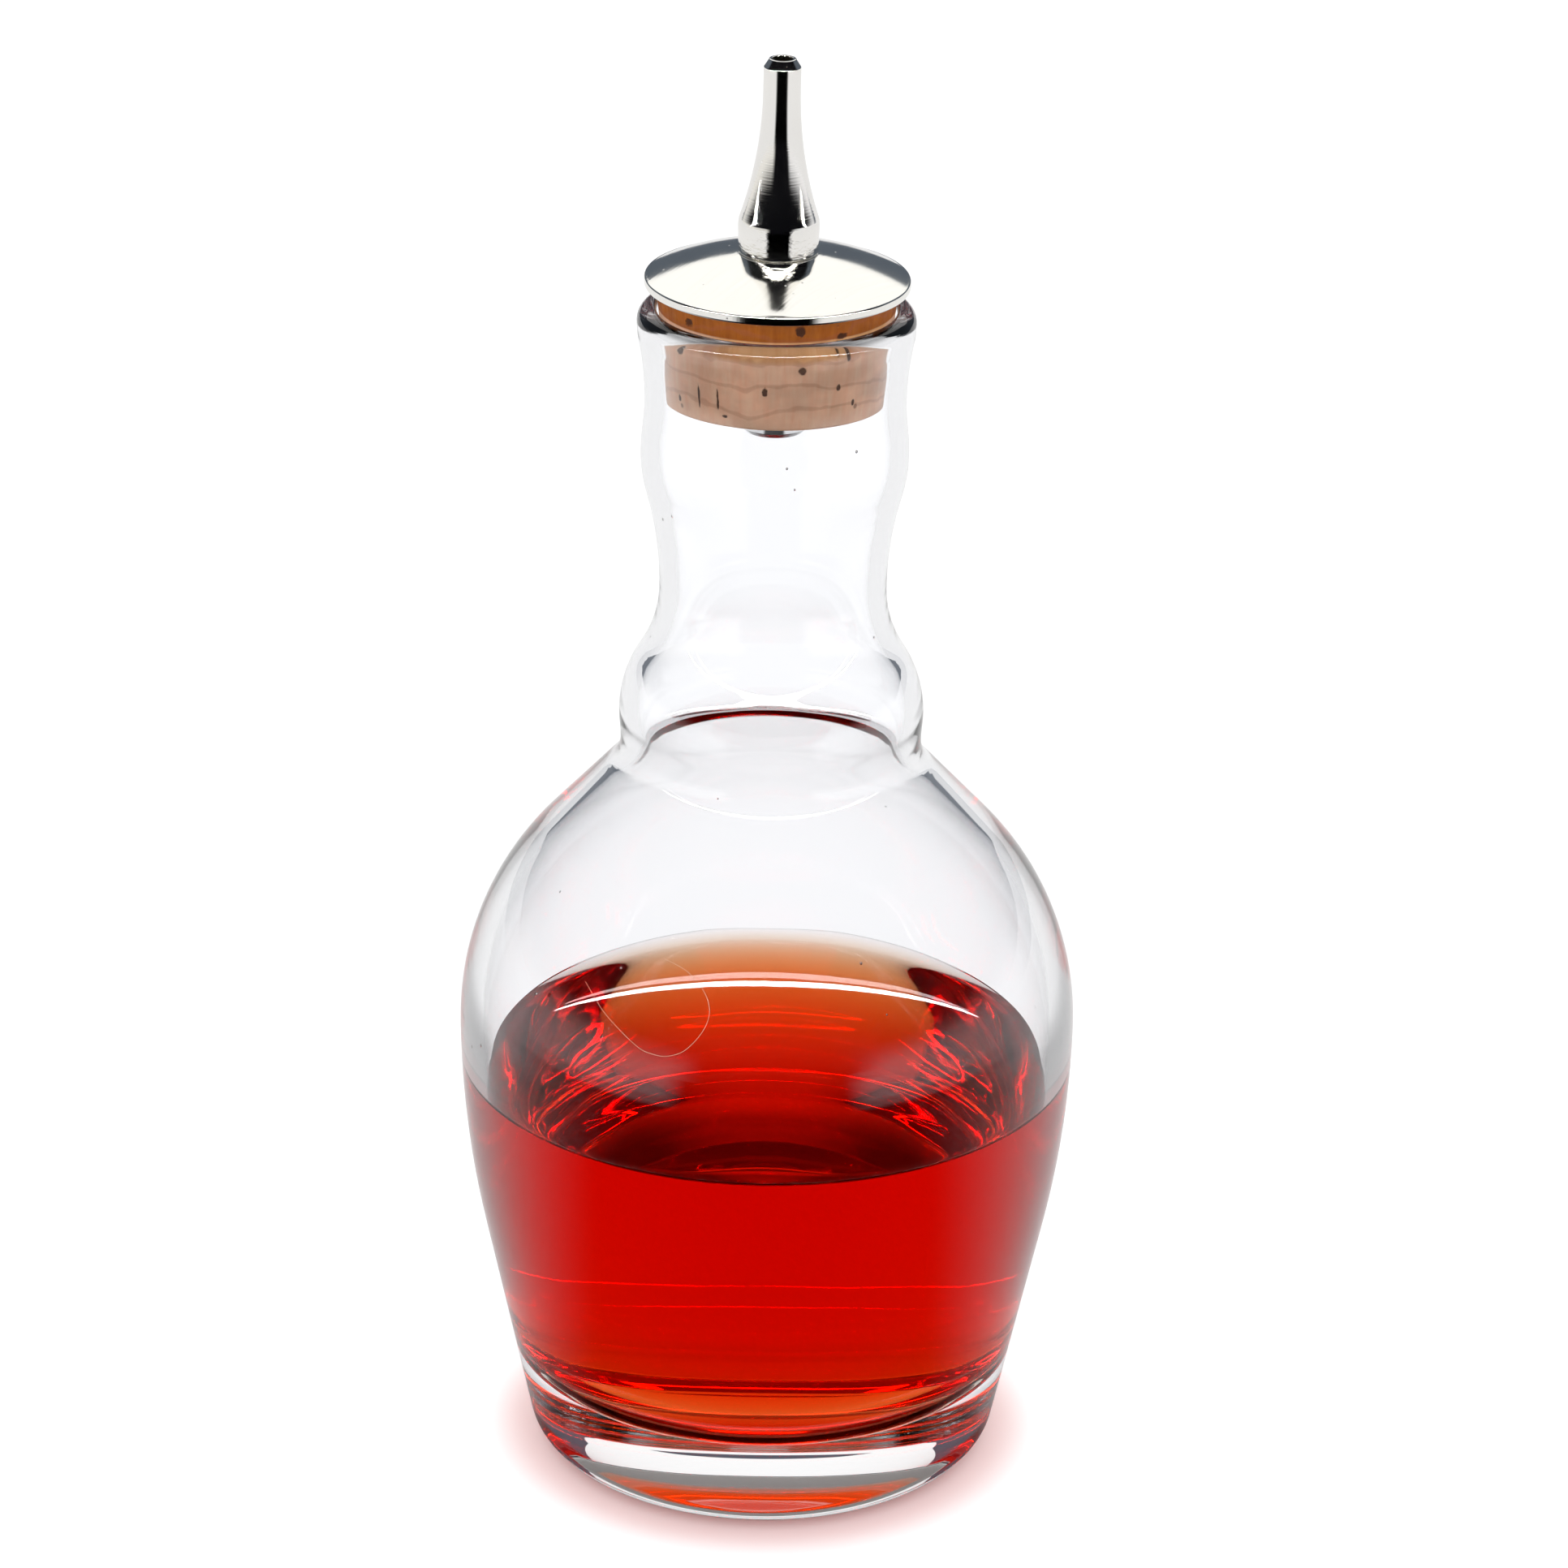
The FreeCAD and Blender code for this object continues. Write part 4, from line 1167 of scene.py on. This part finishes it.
# %% [markdown]
# ## Cork
# Cork is bark: fine fibres run along it, growth lines cross it in waves, and dark pores and small
# cracks break it up.  Above the lip it is a deep orange brown, painted shade for the disc's shadow.
# Pressed into the glass it looks pale and pink, painted light that makes it paler than its own colour,
# except where it touches the glass just under the lip and its own colour returns.
# The larger pores and cracks are listed like freckles: a bearing in degrees, a height over the lip, a
# width and a length in millimetres.

# %% Pores of the cork
CORK_MARKS = [
    (-46.0, 0.9, 1.5, 1.3), (11.6, 1.3, 1.3, 1.6), (33.0, 0.3, 1.8, 0.9), (-5.0, -5.4, 0.8, 1.3),
    (12.5, -3.1, 1.1, 1.2), (30.0, -1.3, 0.8, 2.2), (35.5, -1.6, 0.8, 2.4), (31.0, -5.4, 0.7, 1.0),
    (-39.0, -7.0, 0.35, 3.6), (-28.5, -6.8, 0.35, 3.2), (-25.0, -8.9, 0.9, 0.5), (-50.0, -2.2, 1.4, 1.8),
    (-52.0, -8.0, 0.6, 1.2), (40.0, -7.6, 0.5, 0.9), (112.0, -3.0, 0.9, 2.0), (150.0, -5.5, 0.5, 3.0),
    (-110.0, -4.0, 0.8, 1.8), (-160.0, -2.5, 0.5, 2.6), (95.0, 1.0, 1.2, 1.2), (-130.0, 1.0, 1.4, 1.0),
]


def cork_marks(tree, bearing, height, grain):
    """The listed pores and cracks, with ragged edges; 1 inside them."""
    found = 0.0
    per_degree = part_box("cork")[1].x * math.pi / 180
    for at_bearing, at_height, wide, tall in CORK_MARKS:
        aside = calc(tree, "SUBTRACT", bearing, at_bearing)
        across = times(tree, aside, per_degree / (0.5 * wide * MM))
        along = calc(tree, "DIVIDE", calc(tree, "SUBTRACT", height, at_height * MM), 0.5 * tall * MM)
        reach = calc(tree, "ADD", times(tree, across, across), times(tree, along, along))
        ragged = calc(tree, "ADD", reach, times(tree, grain, 1.9))
        found = calc(tree, "MAXIMUM", found, ramp_between(tree, ragged, 1.25, 1.75, 1.0, 0.0))
    return found


print("the cork has", len(CORK_MARKS), "large pores and cracks")

# %% [markdown]
# ## The cork's bark
# The colour is laid in layers, from the bark's shade, painted pale in the glass and painted dark
# above the lip, to the growth lines, the small dots and the large pores.  The glass touches the cork
# only on the front, over a short band under the lip.

# %% Cork
TOUCH_HEIGHT = (-2.3 * MM, 0.1 * MM, 0.2 * MM)
TOUCH_BEARING = (-30.0, 66.0, 4.0)
PAINTED_SHADE_OVER_LIP = (-0.1 * MM, 0.15 * MM)

# Each shade of bark runs between two colours, along the fibres.
# The pale bark is painted light for the cork inside the glass, and the deep bark is painted shade above the
# lip, under the disc; the warm bark is the cork's own colour.
PAINTED_LIGHT_BARK = (0.92, 0.42, 0.25, 1.0), (1.0, 0.72, 0.50, 1.0)
WARM_BARK = (0.80, 0.33, 0.11, 1.0), (1.0, 0.62, 0.32, 1.0)
PAINTED_SHADE_BARK = (0.25, 0.052, 0.004, 1.0), (0.56, 0.17, 0.02, 1.0)

# How strong each kind of mark is, and its colour.
GROWTH_LINE = 0.26, (0.42, 0.12, 0.06, 1.0)
SMALL_DOT = 0.55, (0.16, 0.05, 0.025, 1.0)
LARGE_PORE = 0.88, (0.05, 0.018, 0.010, 1.0)


def make_cork_finish():
    material, tree, shader, _ = new_finish("cork_bark")
    place = object_place(tree)
    split = wire(tree, "ShaderNodeSeparateXYZ", {0: place}).outputs
    height = calc(tree, "SUBTRACT", split[2], MOUTH_HEIGHT)
    bearing = calc(tree, "DEGREES", calc(tree, "ARCTAN2", split[0], times(tree, split[1], -1.0)))
    fibres = noise(tree, stretched(tree, place, (1500.0, 1500.0, 110.0)), 1.0, 4.0, 0.6)
    grain = noise(tree, place, 1100.0, 3.0, 0.6)
    cloud = noise(tree, stretched(tree, place, (160.0, 160.0, 260.0)), 1.0, 3.0)
    waves = wire(tree, "ShaderNodeTexWave", {
        "Vector": place, "Scale": 105.0, "Distortion": 5.0, "Detail": 3.0, "Detail Scale": 1.3},
        bands_direction="Z").outputs["Fac"]
    growth = ramp_between(tree, waves, 0.90, 0.99)
    dots = specks(tree, stretched(tree, place, (1.0, 1.0, 0.7)), 620.0, 0.16)
    marks = cork_marks(tree, bearing, height, grain)

    in_touch = times(tree, window(tree, bearing, *TOUCH_BEARING), window(tree, height, *TOUCH_HEIGHT))
    touching = times(tree, in_touch, ramp_between(tree, cloud, 0.25, 0.35))
    # Painted light in the glass, the cork's own warm colour where it touches, and painted shade above the
    # lip.
    painted_light_bark, warm, painted_shade_bark = [blend_colours(tree, fibres, *pair) for pair in (PAINTED_LIGHT_BARK, WARM_BARK, PAINTED_SHADE_BARK)]
    colour = blend_colours(tree, touching, painted_light_bark, warm)
    colour = blend_colours(tree, ramp_between(tree, height, *PAINTED_SHADE_OVER_LIP), colour, painted_shade_bark)
    for pattern, (strength, mark) in ((growth, GROWTH_LINE), (dots, SMALL_DOT), (marks, LARGE_PORE)):
        colour = blend_colours(tree, times(tree, pattern, strength), colour, mark)
    shade = ramp_between(tree, cloud, 0.3, 0.75, 0.82, 1.12)
    shaded = wire(tree, "ShaderNodeVectorMath", {0: colour, "Scale": shade}, operation="SCALE")
    tree.links.new(shaded.outputs["Vector"], shader.inputs["Base Color"])
    tree.links.new(ramp_between(tree, grain, 0.3, 0.7, 0.62, 0.88), shader.inputs["Roughness"])
    shader.inputs["Specular IOR Level"].default_value = 0.25
    relief = calc(tree, "SUBTRACT", times(tree, fibres, 0.4), calc(tree, "ADD", marks, dots))
    bumped(tree, shader, relief, 0.12 * MM)
    return material


print("under the lip the cork touches the glass over", round(-TOUCH_HEIGHT[0] / MM, 1), "mm")

# %% [markdown]
# ## The stopper
# The four pieces are turned upright, and then each is leaned by half a degree about the middle
# of the mouth, as the real stopper sits.

# %% Stopper
STOPPER_STEPS_ROUND = 160

for node, slot, finish, step in (
    ("cork", "cork", make_cork_finish(), 0.3 * MM),
    ("cap_disc", "cap_metal", make_disc_finish(), 0.25 * MM),
    ("spout", "spout_metal", make_spout_finish(), 0.25 * MM),
    ("pour_tube", "tube_metal", make_tube_finish(), 0.3 * MM),
):
    outline, closed = OUTLINES[node]
    points = smooth_outline(outline, closed, step)
    piece = turn_on_lathe(node + "_turned", points, finish, STOPPER_STEPS_ROUND, closed=closed)
    piece.data.transform(LEAN)
    keep(piece, slot, node)
